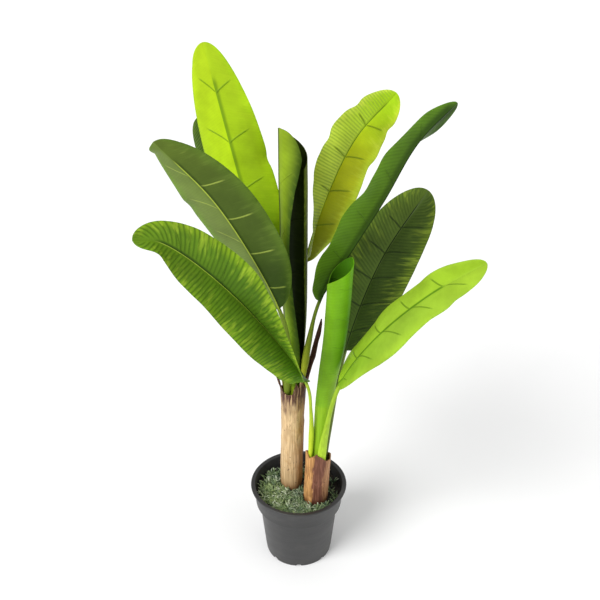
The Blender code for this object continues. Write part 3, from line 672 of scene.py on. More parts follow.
# %% The open leaves
CROWNS = {"tall": ((-9.2, 20.0), 325.3), "short": ((34.0, -16.0), 207.3)}
BLADE_EDGE = 0.9
RIB_HEIGHTS = (2.4, 0.7)
STALK_ROWS = 22
BLADE_ROWS = 210
TIP_ROWS = 16
TIP_START = 0.955
HALF_COLUMNS = 18
FULL_FOLD_WIDTH = 22.0
OPEN_LEAVES = {
    "leaf_high_left": dict(
        spine=((-22, 27.4), (-38, 28, 468), (-49, 34, 536), (-95, 70, 717), (-140, 110, 897)),
        faces=((-90, 30), (-75, 25)), half=54, widest=0.40,
        fold=((-40, -38, -34, -22), (12,)), curl=((-14,), (-20,)), wave=(4, 2.5, 0.15, 0.5),
        stalk=((4, 3.5), (5, 3.5), (3.2, 3.2), (3, 3)), trunk="tall"),
    "leaf_mid_left": dict(
        spine=((-20, 11.3), (-18, -6, 451), (-31, -18, 520), (-114, -50, 706), (-191, -85, 816)),
        faces=((-80, 10), (-80, 15)), half=53, heel=2.8,
        fold=((-44, -46, -38, -60), (0, 8, 24)), curl=((-14,), (-20,)), wave=(4, 2.5, 0.2, 0.6),
        stalk=((4.5, 3), (8, 3.5), (5, 3), (2.8, 2.8)), foot_look=-80, trunk="tall"),
    "leaf_low_left": dict(
        spine=((20, -20.5), (20.5, -29, 325), (11, -41, 397), (-99, -85, 586), (-188, -120, 685),
               (-221, -140, 699)),
        faces=((-110, 35), (-90, 60)), half=52, heel=1.8, tip=2.6,
        fold=((50, 42, 34, 26, 22), (80, 76, 70, 52, 30, 16, 16)), curl=((-20,), (0, -10)),
        wave=(3, 3.5, 0.0, 0.3), stalk=((4.5, 3.6), (5, 4.6), (2.6, 2.4), (2.6, 2.6)), trunk="short"),
    "leaf_back_left": dict(
        spine=((-10.5, 34.7), (-24, 38, 502), (-34, 55, 575), (-94, 130, 667), (-164, 200, 753)),
        faces=((-100, 30), (-90, 40)), half=46,
        fold=((20,), (20,)), curl=((-20,), (-20,)), wave=(3, 3, 0.1, 0.6),
        stalk=((4, 3), (4, 3), (3, 3), (3, 3)), trunk="tall"),
    "leaf_high_right": dict(
        spine=((1.8, 29.9), (8, 42, 478), (12, 50, 566), (51, 90, 677), (93, 125, 749), (154, 160, 805)),
        faces=((-60, 10), (-80, 20)), half=53,
        fold=((78, 70, 50, 32, 26, 20, 22), (0, 5, 0, 0, 5, 12)), curl=((-20,), (-20,)),
        wave=(4, 4, 0.1, 0.55), stalk=((4, 3), (4, 3), (2.8, 2.8), (2.8, 2.8)), trunk="tall"),
    "leaf_folded_right": dict(
        spine=((2.4, 12.2), (17, 9, 443), (34, 12, 517), (79, 5, 606), (126, 0, 695), (170, 0, 783),
               (222, 10, 839)),
        faces=((152, 24), (150, 22), (129, 3)), half=52, tip=1.3,
        fold=((45, 45, 20), (44, 44, 22)), curl=((-20,), (-20,)), wave=(3, 4, 0.2, 0.5),
        foot_look=100,
        stalk=((3.5, 3), (3.7, 3.2), (6.8, 5), (5.5, 4.5), (3, 3), (2.8, 2.8)), trunk="tall"),
    "leaf_back_right": dict(
        spine=((46.5, -7), (53, -3, 265), (77, 20, 417), (132, 70, 554), (207, 115, 661)),
        faces=((-90, 26), (-82, 30)), half=57, heel=2.8, tip=2.4,
        fold=((27, 27, 20), (8, 12, 20)), curl=((-20,), (-20,)), wave=(2, 3, 0.1, 0.6),
        stalk=((3, 3), (3.2, 3), (3.5, 3.5), (3.2, 3.2)), trunk="short"),
    "leaf_low_right": dict(
        spine=((37, -28.8), (44, -36, 282), (66, -52, 399), (114, -66, 491), (193, -72, 575),
               (272, -70, 627)),
        faces=((-156, 57), (-150, 57)), half=52, heel=3.0,
        fold=((5, -5, -8, -4, -2, 8, 12), (32, 22, 10, 8, 14, 10, 0)), curl=((-20,), (-20,)),
        wave=(2, 3, 0.0, 0.5), stalk=((8, 2.6), (7.5, 3.2), (5, 3.6), (3.6, 3.4)), trunk="short"),
}
# Extra relief: height of the vein ridges on the left and right half, ripples of the edge (height, number), and
# dents of the outline as (side, place along, length share, depth as a share of the width).
LEAF_RELIEF = {
    "leaf_high_left": dict(veins=(0.05, 0.08), ripple=(0.8, 7), dents=((1, 0.50, 0.03, 0.05),)),
    "leaf_mid_left": dict(veins=(0.06, 0.08), ripple=(0.8, 9), dents=((-1, 0.62, 0.04, 0.05),)),
    "leaf_low_left": dict(veins=(0.28, 0.28), ripple=(0.9, 12), dents=()),
    "leaf_back_left": dict(veins=(0.25, 0.25), ripple=(0.8, 9), dents=()),
    "leaf_high_right": dict(
        veins=(0.25, 0.08), ripple=(1.0, 9),
        dents=((-1, 0.80, 0.035, 0.12), (-1, 0.61, 0.035, 0.10), (-1, 0.40, 0.035, 0.06),
               (1, 0.84, 0.03, 0.10), (1, 0.60, 0.04, 0.05))),
    "leaf_folded_right": dict(veins=(0.12, 0.12), ripple=(1.0, 9), dents=((1, 0.66, 0.04, 0.08),)),
    "leaf_back_right": dict(veins=(0.22, 0.25), ripple=(0.7, 12), dents=()),
    "leaf_low_right": dict(veins=(0.04, 0.04), ripple=(0.6, 6), dents=((1, 0.80, 0.03, 0.06),)),
}


def blade_share(t, widest, heel, tip):
    """Half width of a blade as a share of its largest: two half ovals that meet at the widest place."""
    low = 1 - np.clip((widest - t) / widest, 0, 1) ** heel
    high = 1 - np.clip((t - widest) / (1 - widest), 0, 1) ** tip
    return np.minimum(low, high) ** 0.5


def open_leaf(name, spine, faces, half, fold, curl, wave, stalk, trunk, widest=0.42, heel=2.2, tip=2.0,
              foot_look=None):
    """Places and marks of one leaf's skin: rows from the foot to the tip, columns round the section."""
    (middle_x, middle_y), floor_z = CROWNS[trunk]
    foot = np.array((*spine[0], floor_z))
    curve = smooth_curve((foot, *spine[1:]))
    bend = 2 * 48
    tip_part = np.sin(np.linspace(0, math.pi / 2, TIP_ROWS + 1))[1:]
    t = np.concatenate((np.linspace(0, TIP_START, BLADE_ROWS), TIP_START + (1 - TIP_START) * tip_part))
    s = np.linspace(0, 1, STALK_ROWS + 1)[:-1]
    stalk_points, stalk_ways = along(curve[:bend + 1], s)
    blade_points, blade_ways = along(curve[bend:], t)
    length = np.linalg.norm(np.diff(curve[bend:], axis=0), axis=1).sum()
    points = np.vstack((stalk_points, blade_points))
    ways = np.vstack((stalk_ways, blade_ways))

    looks = [looking(*face) for face in faces]
    foot_face = unit(np.array((middle_x - foot[0], middle_y - foot[1], 0.0)))
    if foot_look is not None:
        foot_face = looking(foot_look, 0)
    look = np.vstack((foot_face * (1 - s[:, None]) + looks[0] * s[:, None], spread_points(looks, t)))
    up = unit(look - (look * ways).sum(1, keepdims=True) * ways)
    side = np.cross(ways, up)

    share = np.concatenate((s * 0, t))
    on_blade = np.concatenate((s < 0, t >= 0))
    stalk_size = np.vstack((spread_points(stalk, s), np.repeat([stalk[-1]], len(t), axis=0)))
    width = np.where(on_blade, np.maximum(half * blade_share(share, widest, heel, tip), 0.6), 0)
    low_end = np.where(on_blade, 1 - smoothstep(share, 0.0, 0.05), 1)
    width = np.maximum(width, stalk_size[:, 0] * low_end)
    bending = np.where(on_blade, np.clip((width - stalk_size[:, 0]) / FULL_FOLD_WIDTH, 0, 1), 0)
    relief = LEAF_RELIEF[name]

    u = np.linspace(0, 1, HALF_COLUMNS + 1) ** 1.25
    faces_out = []
    for k, sign in ((0, -1), (1, 1)):
        reach = width.copy()
        for dent_side, at, size, depth in relief["dents"]:
            if dent_side == sign:
                reach *= 1 - depth * np.exp(-((share - at) / size) ** 2)
        middle_u = (u[1:] + u[:-1]) / 2
        angle = np.radians(spread(fold[k], share)[:, None] + spread(curl[k], share)[:, None] * middle_u)
        angle *= bending[:, None]
        step = reach[:, None] * np.diff(u)
        zeros = np.zeros((len(share), 1))
        out = np.hstack((zeros, np.cumsum(step * np.cos(angle), axis=1)))
        rise = np.hstack((zeros, np.cumsum(step * np.sin(angle), axis=1)))
        height, count, *phases = wave
        swing = np.sin(2 * math.pi * (count * share + phases[k])) * np.sin(math.pi * share).clip(0) ** 0.5
        rise = rise + (height * swing * on_blade)[:, None] * u ** 2
        ripple, ripples = relief["ripple"]
        edge = noise(share * ripples * 2, 0 * share + k * 9, 5 + len(name))
        rise = rise + (ripple * edge * bending)[:, None] * smoothstep(u, 0.55, 1.0)
        slope = np.arctan2(np.gradient(rise, axis=1), np.gradient(out, axis=1) + 1e-9)
        slope[:, 0] = 0
        centre = (points[:, None] + side[:, None] * sign * out[..., None] + up[:, None] * rise[..., None])
        normal = up[:, None] * np.cos(slope)[..., None] - side[:, None] * sign * np.sin(slope)[..., None]
        faces_out.append((centre, normal, reach))

    finish = {**LEAF_DEFAULTS, **LEAF_FINISHES[name]}
    depth = stalk_size[:, 1] * low_end
    rib = spread(RIB_HEIGHTS, share) * on_blade
    places = []
    marks = []
    for upper in (True, False):
        for k, sign, order in ((1, 1, slice(None, None, -1)), (0, -1, slice(None))):
            if not upper:
                k, sign = 1 - k, -sign
            centre, normal, reach = faces_out[k]
            distance = reach[:, None] * u
            oval = np.sqrt(np.clip(1 - (0.99 * u) ** 2, 0, 1))
            stem = depth[:, None] * oval
            edge_round = np.sqrt(np.clip(1 - smoothstep(u, 0.94, 1.0) ** 2, 0, 1))
            leaf = BLADE_EDGE / 2 * edge_round
            lines = share[:, None] - u * finish["Vein Lean"]
            ridges = np.sin(math.tau * lines * finish["Veins"]) * relief["veins"][k]
            ridges = ridges * smoothstep(distance, 2, 9) * smoothstep(share, 0.02, 0.08)[:, None] * edge_round
            if upper:
                groove = 0.55 * np.exp(-(distance / 1.4) ** 2) * smoothstep(share, 0.02, 0.1)[:, None]
                offset = np.maximum(stem, leaf) + ridges - groove * (1 - low_end[:, None])
            else:
                under_rib = rib[:, None] * np.exp(-(distance / 2.0) ** 2)
                offset = -(np.maximum(stem, leaf) + under_rib * (1 - low_end[:, None]) * edge_round - ridges)
            block = centre + normal * offset[..., None]
            along_mark = np.concatenate((s - 1, t))
            mark = np.stack(np.broadcast_arrays(sign * u, along_mark[:, None], sign * distance), axis=-1)
            chosen = slice(None, None, -1) if order.step == -1 else slice(None)
            places.append(block[:, chosen])
            marks.append(mark[:, chosen])
    drop = [0, 1, 0, 1]
    places = np.concatenate([block[:, skip:] for block, skip in zip(places, drop)], axis=1)
    marks = np.concatenate([block[:, skip:] for block, skip in zip(marks, drop)], axis=1)
    places[0, :, 2] = floor_z
    under = np.concatenate([np.full(HALF_COLUMNS * 2 + 1, 0.0), np.full(HALF_COLUMNS * 2 + 1, 1.0)])
    return places, marks, under, length


for name, shape in OPEN_LEAVES.items():
    places, marks, under, length = open_leaf(name, **shape)
    piece = skin("fine_" + name, places, marks, under=under)
    piece.data.materials.append(leaf_material(name, length))
    slot_name = "bright_leaf" if name in ("leaf_high_left", "leaf_high_right", "leaf_low_right") else (
        "mid_leaf" if name == "leaf_low_left" else "dark_leaf")
    keep(piece, slot_name, name)

# %% [markdown]
# ## The rolled leaves
# The youngest leaf of each trunk is still rolled up round itself. Its skin runs up a nearly straight axis, and
# the two halves of the blade reach round it, so that one laps over the other at the front. Each half ends
# lower than the middle, which gives the slanting rim at the top.

# %% The rolled leaves
ROLL_ROWS = 150
ROLL_COLUMNS = 52
ROLLED_LEAVES = {
    "leaf_rolled_tall": dict(
        axis=((-9.2, 20), (-6, 20, 463), (-8, 22, 618), (-9, 24, 800)), radii=(9, 14, 18, 20, 20.5, 19.5),
        left=(200, 230, 247, 247, 247), right=(150, 140, 110, 80, 60, 50, 44, 53, 76, 118, 125),
        drop=(0.13, 0.107), rim_powers=(1.25, 2.8), midrib=205, spiral=-0.12, stem=0.05, trunk="tall"),
    "leaf_rolled_short": dict(
        axis=((34, -13.5), (45, -14, 360), (59, -16, 479), (65, -14, 602)), radii=(10.3, 13, 16, 18.5, 18.5),
        left=(200,), right=(165,), drop=(0.10, 0.13), rim_powers=(1.3, 1.3), midrib=30, spiral=-0.09, stem=0.33,
        trunk="short"),
}


def rolled_leaf(name, axis, radii, left, right, drop, rim_powers, midrib, spiral, stem, trunk):
    curve = smooth_curve(((*axis[0], CROWNS[trunk][1]), *axis[1:]))
    v = np.linspace(-1, 1, ROLL_COLUMNS * 2 + 1)[None, :]
    rows = np.linspace(0, 1, ROLL_ROWS + 1)[:, None]
    low = np.where(v < 0, drop[0] * np.abs(v) ** rim_powers[0], drop[1] * np.abs(v) ** rim_powers[1])
    share = rows * (1 - low)
    reach = np.where(v < 0, spread(left, share), spread(right, share))
    turn = np.radians(midrib + v * reach)
    uneven = 0.5 * noise(share * 7, v * 3 + 9, 11) * smoothstep(share, 0.1, 0.5)
    radius = spread(radii, share) * (1 + spiral * v) + uneven
    centre = along(curve, share.ravel())[0].reshape(*share.shape, 3)
    ray = np.stack((np.cos(turn), np.sin(turn), 0 * turn), axis=-1)
    edge_round = np.sqrt(np.clip(1 - smoothstep(np.abs(v), 0.97, 1.0) ** 2, 0, 1))
    veins = 0.05 * np.sin(math.tau * share * 60) * smoothstep(np.abs(v), 0.05, 0.2) * edge_round
    half_wall = BLADE_EDGE / 2 * edge_round
    outer = centre + ray * (radius + half_wall + veins)[..., None]
    inner = centre + ray * (radius - half_wall + veins)[..., None]
    height = np.where(share < stem, (share - stem) / stem, (share - stem) / (1 - stem))
    mark = np.stack((np.broadcast_to(v, share.shape), height, np.radians(v * reach) * radius), axis=-1)
    places = np.concatenate((outer, inner[:, ::-1]), axis=1)
    marks = np.concatenate((mark, mark[:, ::-1]), axis=1)
    under = np.concatenate((np.zeros(v.size), np.ones(v.size)))
    return places, marks, under


for name, shape in ROLLED_LEAVES.items():
    places, marks, under = rolled_leaf(name, **shape)
    piece = skin("fine_" + name, places, marks, under=under)
    piece.data.materials.append(leaf_material(name, 400.0))
    keep(piece, "mid_leaf", name)

# %% [markdown]
# ## The bark finish
# The trunks are made of dried leaf bases, moulded and painted: pale straw to orange brown, with fine upright
# fibres, dark specks and, near the crown, a dark purple brown. Round the tall trunk the colour darkens from the
# left and front towards the right and the back, partly the airbrushed paint and partly painted shade of the side
# away from the key light. One node group mixes these from the place of a point: the share round the trunk from -1
# to 1 with 0 at the right, and the height share.

# %% The bark finish
BARK_INPUTS = {
    "Coordinates": 'vector', "Place": 'vector', "Pale": 'colour', "Warm": 'colour', "Dark": 'colour',
    "Warm Start": 'value', "Warm End": 'value', "Dark Start": 'value', "Dark End": 'value',
    "Specks": 'value', "Crown Start": 'value', "Crown End": 'value', "Fibres": 'value',
}
BARK_OUTPUTS = {"Colour": 'colour', "Height": 'value', "Roughness": 'value'}


def bark_group():
    tree, g, given, taken = new_group("bark_finish", BARK_INPUTS, BARK_OUTPUTS)
    round_share, height_share, _ = g.split(given["Place"])
    fine = g.noise(g.stretch(given["Coordinates"], (420.0, 420.0, 26.0)), 1.0, detail=4.0)
    broad = g.noise(g.stretch(given["Coordinates"], (90.0, 90.0, 22.0)), 1.0, detail=4.0)
    blotch = g.noise(given["Coordinates"], 60.0, detail=5.0)
    sway = g.math('MULTIPLY_ADD', broad, 0.5, -0.25)
    x = g.math('ADD', round_share, sway)
    # Zones of pale, warm and dark colour round the trunk. On the tall trunk the darkening towards the right and the
    # back is partly airbrushed paint and partly painted shade of the side away from the key light.
    warm = g.ramp(x, given["Warm Start"], given["Warm End"])
    colour = g.mix(warm, given["Pale"], given["Warm"])
    colour = g.mix(g.math('MULTIPLY', g.ramp(blotch, 0.5, 0.75), 0.5), colour, given["Warm"])
    dark = g.ramp(x, given["Dark Start"], given["Dark End"])
    colour = g.mix(g.math('MULTIPLY', dark, 0.9), colour, given["Dark"])
    y = g.math('ADD', height_share, g.math('MULTIPLY', sway, 0.9))
    crown = g.ramp(y, given["Crown Start"], given["Crown End"])
    crown = g.math('MULTIPLY', crown, g.ramp(fine, 0.36, 0.5))
    colour = g.mix(crown, colour, given["Dark"])
    fibre = g.math('MULTIPLY', g.ramp(fine, 0.42, 0.62, 1.0, 0.0), given["Fibres"])
    colour = g.mix(fibre, colour, g.mix(1.0, colour, (0.42, 0.33, 0.27), blend='MULTIPLY'))
    spots = g.noise(g.stretch(given["Coordinates"], (300.0, 300.0, 150.0)), 1.0, detail=2.0)
    specks = g.math('MULTIPLY', g.ramp(spots, 0.66, 0.72), given["Specks"])
    colour = g.mix(specks, colour, (0.05, 0.025, 0.012))
    foot = g.math('MULTIPLY', g.ramp(height_share, -0.04, 0.1, 1.0, 0.0), 0.75)
    colour = g.mix(foot, colour, g.mix(1.0, colour, (0.35, 0.2, 0.1), blend='MULTIPLY'))
    height = g.math('ADD', g.math('MULTIPLY', fine, 0.7), g.math('MULTIPLY', broad, 0.8))
    tree.links.new(colour, taken["Colour"])
    tree.links.new(height, taken["Height"])
    tree.links.new(g.math('MULTIPLY_ADD', fine, 0.25, 0.5), taken["Roughness"])
    return tree


BARK_GROUP = bark_group()
BARK_FINISHES = {
    "trunk_tall": {
        "Pale": (0.72, 0.52, 0.28), "Warm": (0.52, 0.26, 0.07), "Dark": (0.085, 0.030, 0.022),
        "Warm Start": -0.45, "Warm End": -0.15, "Dark Start": -0.10, "Dark End": 0.02,
        "Specks": 0.7, "Crown Start": 0.78, "Crown End": 1.0, "Fibres": 0.5,
    },
    "trunk_short": {
        "Pale": (0.66, 0.36, 0.13), "Warm": (0.22, 0.09, 0.055), "Dark": (0.5, 0.27, 0.13),
        "Warm Start": -0.66, "Warm End": -0.60, "Dark Start": -0.36, "Dark End": -0.28,
        "Specks": 0.5, "Crown Start": 1.2, "Crown End": 1.4, "Fibres": 0.75,
    },
}


def bark_material(name, values):
    made, graph, shader, coordinates = new_material(name + "_finish")
    place = graph.node("ShaderNodeAttribute", {}, output=1, attribute_name="place")
    outputs = use_group(graph, BARK_GROUP, {**values, "Place": place}, coordinates)
    finish_shader(graph, shader, outputs["Colour"], outputs["Roughness"], outputs["Height"], 0.0008,
                  Specular_IOR_Level=0.3)
    return made


print("bark finish has", len(BARK_GROUP.nodes), "nodes")

# %% [markdown]
# ## The trunks
# Each trunk is a stout tube of overlapping old leaf bases. Its skin starts at the foot in the soil, runs up
# the bark, over the ragged crown and down the inner wall to the floor that the stalks stand on. Slanting
# sheath edges step in as they go up, and a few dried tips stand up from the crown.

# %% The trunks
FOOT_Z = 62.0
FLARE_Z = 136.0
TRUNK_WALL = 1.6
CUP_DEPTH = 10.0
TRUNK_COLUMNS = 180
TRUNKS = {
    "trunk_tall": dict(
        axis=((-13.3, 20.0), (-9.2, 20.0)), top=335.0, foot_radius=18.0,
        radii=(18.5, 19.3, 19.2, 19.6, 21.0, 22.6),
        sheaths=((-60, 0.55, 0.95, 1.2), (120, 0.40, 0.85, 1.0)),
        flaps=((11, 25, 130, 28), (197, 29, 58, 14), (-75, 22, 30, 0), (-50, 25, 40, 2), (-25, 24, 38, 7),
               (90, 30, 30, 5))),
    "trunk_short": dict(
        axis=((30.0, -18.0), (34.0, -16.0)), top=217.0, foot_radius=20.5,
        radii=(21.2, 21.2, 21.4, 21.8, 22.4), sheaths=((-80, 0.45, 0.95, 1.0),),
        flaps=((-100, 70, 24, 0), (195, 75, 20, 0), (80, 30, 20, 3))),
}


def trunk_skin(axis, top, foot_radius, radii, sheaths, flaps, seed):
    azimuth = np.linspace(-180, 180, TRUNK_COLUMNS + 1)
    turn = np.radians(azimuth)
    foot, head = np.array(axis[0]), np.array(axis[1])
    cell = np.arange(TRUNK_COLUMNS + 1)
    sum_of_steps = sum(sheath[3] for sheath in sheaths)

    def bark(share):
        """Radius at a height share: steps at the sheath edges, wrinkles and fine upright fibres."""
        radius = spread(radii, share) + 0 * azimuth
        for centre, low, high, thickness in sheaths:
            away = np.abs((azimuth - centre + 180) % 360 - 180) / 180
            edge = low + (high - low) * away + 0.02 * noise(cell / 6, share * 0 + 3, seed + 1, wrap=30)
            radius = radius + thickness * np.clip((edge - share) * 40, 0, 1) * (1 - share * 0.5)
        wrinkles = 0.35 * noise(cell / 6, share * 5, seed + 2, wrap=30)
        fibres = 0.18 * noise(cell / 1.5, share * 9, seed + 3, wrap=120)
        waist = 0.3 * np.sin(np.radians(azimuth * 5))
        return radius - sum_of_steps * 0.5 + waist + wrinkles + fibres

    rise = 4.0 + 1.5 * np.sin(np.radians(azimuth * 7))
    lean = 0 * azimuth
    for centre, half_width, height, tip_lean in flaps:
        share = 1 - np.abs((azimuth - centre + 180) % 360 - 180) / half_width
        taller = (share > 0) & (height * share > rise)
        rise = np.where(taller, height * share, rise)
        lean = np.where(taller, tip_lean * share, lean)
    rise = rise * (1 + 0.10 * noise(cell / 2, 0 * cell + 5, seed + 4, wrap=90))

    places = []
    marks = []

    def ring(z, radius, mark):
        share = np.clip((z - FLARE_Z) / (top - FLARE_Z), 0, 1)
        x = foot[0] + (head[0] - foot[0]) * share + radius * np.cos(turn)
        y = foot[1] + (head[1] - foot[1]) * share + radius * np.sin(turn)
        places.append(np.stack((x, y, z + 0 * x), axis=-1))
        marks.append(np.stack((azimuth / 180, mark + 0 * x, 0 * x), axis=-1))

    for z in (FOOT_Z, FLARE_Z - 14, FLARE_Z - 9):
        ring(z + 0 * azimuth, foot_radius + 0 * azimuth, -0.1)
    for share in np.linspace(0, 1, 130):
        ring(FLARE_Z + (top - FLARE_Z) * share + 0 * azimuth, bark(share), share)
    inner = radii[-1] - 0.5 * sum_of_steps - 0.3 - TRUNK_WALL
    up_the_rim = np.linspace(0, 1, 22)[1:]
    for g in up_the_rim:
        ring(top + g * rise, bark(1.0) + lean * g ** 1.5, 1 + g * rise / (top - FLARE_Z))
    for g in up_the_rim[::-1]:
        ring(top + g * rise - 0.2, inner + lean * g ** 1.5 + 0 * azimuth, 1 + g * rise / (top - FLARE_Z))
    floor_radius = inner - radii[-1] + spread(radii, 1 - CUP_DEPTH / (top - FLARE_Z))
    for g in (0.3, 0.65, 1.0):
        ring(top - CUP_DEPTH * g + 0 * azimuth, inner + (floor_radius - inner) * g + 0 * azimuth, 1.0)
    return np.array(places), np.array(marks)


for seed, (name, shape) in enumerate(TRUNKS.items()):
    places, marks = trunk_skin(**shape, seed=20 + 10 * seed)
    piece = skin("fine_" + name, places, marks)
    piece.data.materials.append(bark_material(name, BARK_FINISHES[name]))
    keep(piece, "tan_bark" if name == "trunk_tall" else "brown_bark", name)

# %% [markdown]
# ## The pot
# A nursery pot is blown or moulded from thin black plastic: a tapered body, a taller band round the top that
# steps out, and a small rounded lip. It is drawn up from a disc by extruding its rim and scaling each new
# ring, first up the outside, then down the inside to the floor. The drain notches are cut with round bars.

# %% The pot
POT_SIDES = 128
POT_PROFILE = (
    (57.5, 0.0), (58.6, 0.4), (59.0, 1.5), (59.9, 8.6), (60.1, 9.0), (69.6, 107.2), (70.4, 108.4), (75.4, 108.8),
    (76.3, 109.4), (76.6, 110.6), (78.9, 143.0), (79.6, 143.9), (83.4, 144.2), (84.6, 144.9), (85.0, 146.3),
    (84.7, 147.4), (83.9, 148.0), (79.0, 147.9), (77.8, 147.4), (77.2, 146.4), (74.8, 111.9), (74.0, 111.1),
    (68.7, 110.5), (68.0, 109.8), (57.2, 3.3), (55.8, 1.9),
)
NOTCHES = 8
NOTCH_RADIUS = 5.0

deselect_all()
bottom_radius, bottom_z = POT_PROFILE[0]
bpy.ops.mesh.primitive_circle_add(vertices=POT_SIDES, radius=bottom_radius * MM, fill_type='NGON',
                                  location=(0, 0, bottom_z * MM))
pot = bpy.context.active_object
pot.name = pot.data.name = "fine_pot"
bpy.ops.object.mode_set(mode='EDIT')
bpy.ops.mesh.select_all(action='SELECT')
for (radius, z), (next_radius, next_z) in zip(POT_PROFILE, POT_PROFILE[1:]):
    bpy.ops.mesh.extrude_region_move(TRANSFORM_OT_translate={"value": (0, 0, (next_z - z) * MM)})
    growth = next_radius / radius
    bpy.ops.transform.resize(value=(growth, growth, 1), center_override=(0, 0, next_z * MM))
bpy.ops.mesh.select_all(action='SELECT')
bpy.ops.mesh.normals_make_consistent(inside=False)
bpy.ops.object.mode_set(mode='OBJECT')
bpy.ops.object.transform_apply(location=True, rotation=True, scale=True)

deselect_all()
for k in range(NOTCHES):
    turn = math.tau * k / NOTCHES - math.pi / 2
    place = 59.0 * MM
    bpy.ops.mesh.primitive_cylinder_add(
        vertices=32, radius=NOTCH_RADIUS * MM, depth=0.012, rotation=(0, math.pi / 2, turn),
        location=(place * math.cos(turn), place * math.sin(turn), 0))
    bpy.context.active_object.name = "notch_bar"
for bar in bpy.data.objects:
    if bar.name.startswith("notch_bar"):
        bar.select_set(True)
bpy.ops.object.join()
bars = bpy.context.active_object
deselect_all()
bpy.context.view_layer.objects.active = pot
cutting = pot.modifiers.new("notches", 'BOOLEAN')
cutting.object = bars
cutting.solver = 'EXACT'
bpy.ops.object.modifier_apply(modifier="notches")
bpy.data.objects.remove(bars, do_unlink=True)
pot.select_set(True)
bpy.ops.object.shade_smooth_by_angle(angle=math.radians(35))


def plastic_material():
    """Matt black plastic: a fine grain, faint flow marks round the wall and a little grey dust."""
    made, g, shader, coordinates = new_material("pot_plastic")
    grain = g.noise(coordinates, 1400.0, detail=2.0)
    flow = g.noise(g.stretch(coordinates, (12.0, 12.0, 60.0)), 1.0, detail=4.0)
    dust = g.ramp(g.noise(coordinates, 30.0, detail=6.0), 0.5, 0.8)
    colour = g.mix(dust, (0.022, 0.022, 0.022), (0.040, 0.039, 0.037))
    roughness = g.math('MULTIPLY_ADD', flow, 0.2, 0.36)
    height = g.math('ADD', g.math('MULTIPLY', grain, 0.3), flow)
    finish_shader(g, shader, colour, roughness, height, 0.0003, Specular_IOR_Level=0.5)
    return made


POT_PLASTIC = plastic_material()
pot.data.materials.clear()
pot.data.materials.append(POT_PLASTIC)
keep(pot, "black_plastic", "pot")

# %% [markdown]
# ## The soil
# Dark crumbly potting soil fills the pot to a finger's width under the rim. Its top is a closed round skin with
# an uneven face, and a few hundred crumbs lie on it. One crumb is modelled from a ball and copied with its own
# turn and size.

# %% The soil
SOIL_Z = 122.0
SOIL_RADIUS = 75.2
SOIL_RINGS = 60
SOIL_COLUMNS = 160
CRUMBS = 420
TRUNK_SPOTS = ((-13.3, 20.0, 19.0), (30.0, -18.0, 21.5))


def soil_material():
    made, g, shader, coordinates = new_material("potting_soil")
    lumps = g.noise(coordinates, 220.0, detail=6.0)
    fine = g.noise(coordinates, 900.0, detail=3.0)
    colour = g.mix(g.ramp(lumps, 0.35, 0.7), (0.008, 0.007, 0.005), (0.034, 0.024, 0.015))
    colour = g.mix(g.ramp(fine, 0.64, 0.7), colour, (0.075, 0.055, 0.035))
    height = g.math('MULTIPLY_ADD', fine, 0.4, lumps)
    finish_shader(g, shader, colour, g.ramp(lumps, 0.3, 0.7, 0.95, 0.75), height, 0.002)
    return made


SOIL = soil_material()
turn = np.linspace(-math.pi, math.pi, SOIL_COLUMNS + 1)
cell = np.arange(SOIL_COLUMNS + 1)
soil_places = []
for share in np.linspace(0, 1, SOIL_RINGS + 1):
    radius = SOIL_RADIUS * share
    x, y = radius * np.cos(turn), radius * np.sin(turn)
    lumps = 1.6 * noise(x / 9, y / 9, 40) + 0.9 * noise(x / 3.6, y / 3.6, 41) + 0.4 * noise(x / 1.7, y / 1.7, 42)
    soil_places.append(np.stack((x, y, SOIL_Z + 3.2 + lumps * (1 - share ** 8)), axis=-1))
for share in (1.0, 0.97, 0.5, 0.0):
    radius = SOIL_RADIUS * share
    soil_places.append(np.stack((radius * np.cos(turn), radius * np.sin(turn), SOIL_Z + 0 * turn), axis=-1))
soil_places = np.array(soil_places)
soil_top = skin("soil_top", soil_places, soil_places)
soil_top.data.materials.append(SOIL)
keep(soil_top, "dark_soil")
frame["nodes"]["potting_fill"].material_slots[0].material = SOIL


def free_spot(draw, margin, reach):
    """A random place on the soil that is clear of both trunks."""
    while True:
        x, y = draw.uniform(-reach, reach), draw.uniform(-reach, reach)
        clear = all(math.hypot(x - cx, y - cy) > r + margin for cx, cy, r in TRUNK_SPOTS)
        if math.hypot(x, y) < reach and clear:
            return x, y


def scatter(name, pattern, placements, tints):
    """One piece made of copies of a small pattern: each with its own 3 x 3 turn and size, and its place."""
    points = np.array([vert.co for vert in pattern.data.vertices])
    heights = points[:, 2] / points[:, 2].max()
    faces = [tuple(face.vertices) for face in pattern.data.polygons]
    copies = [points @ turn_and_size.T + place for turn_and_size, place in placements]
    count = len(points)
    all_faces = [tuple(v + k * count for v in face) for k in range(len(copies)) for face in faces]
    mesh = bpy.data.meshes.new(name)
    mesh.from_pydata(np.concatenate(copies).tolist(), [], all_faces)
    kept = mesh.attributes.new("place", 'FLOAT_VECTOR', 'POINT')
    marks = np.concatenate([np.stack((tint + 0 * heights, heights, 0 * heights), axis=1) for tint in tints])
    kept.data.foreach_set("vector", marks.ravel())
    mesh.shade_smooth()
    made = bpy.data.objects.new(name, mesh)
    bpy.context.scene.collection.objects.link(made)
    bpy.data.objects.remove(pattern, do_unlink=True)
    return made


def turned(azimuth, tilt, size):
    """A turn about the upright axis after a tilt, times a size."""
    ca, sa, ct, st = math.cos(azimuth), math.sin(azimuth), math.cos(tilt), math.sin(tilt)
    return size * np.array(((ca, -sa, 0), (sa, ca, 0), (0, 0, 1))) @ np.array(((ct, 0, st), (0, 1, 0), (-st, 0, ct)))


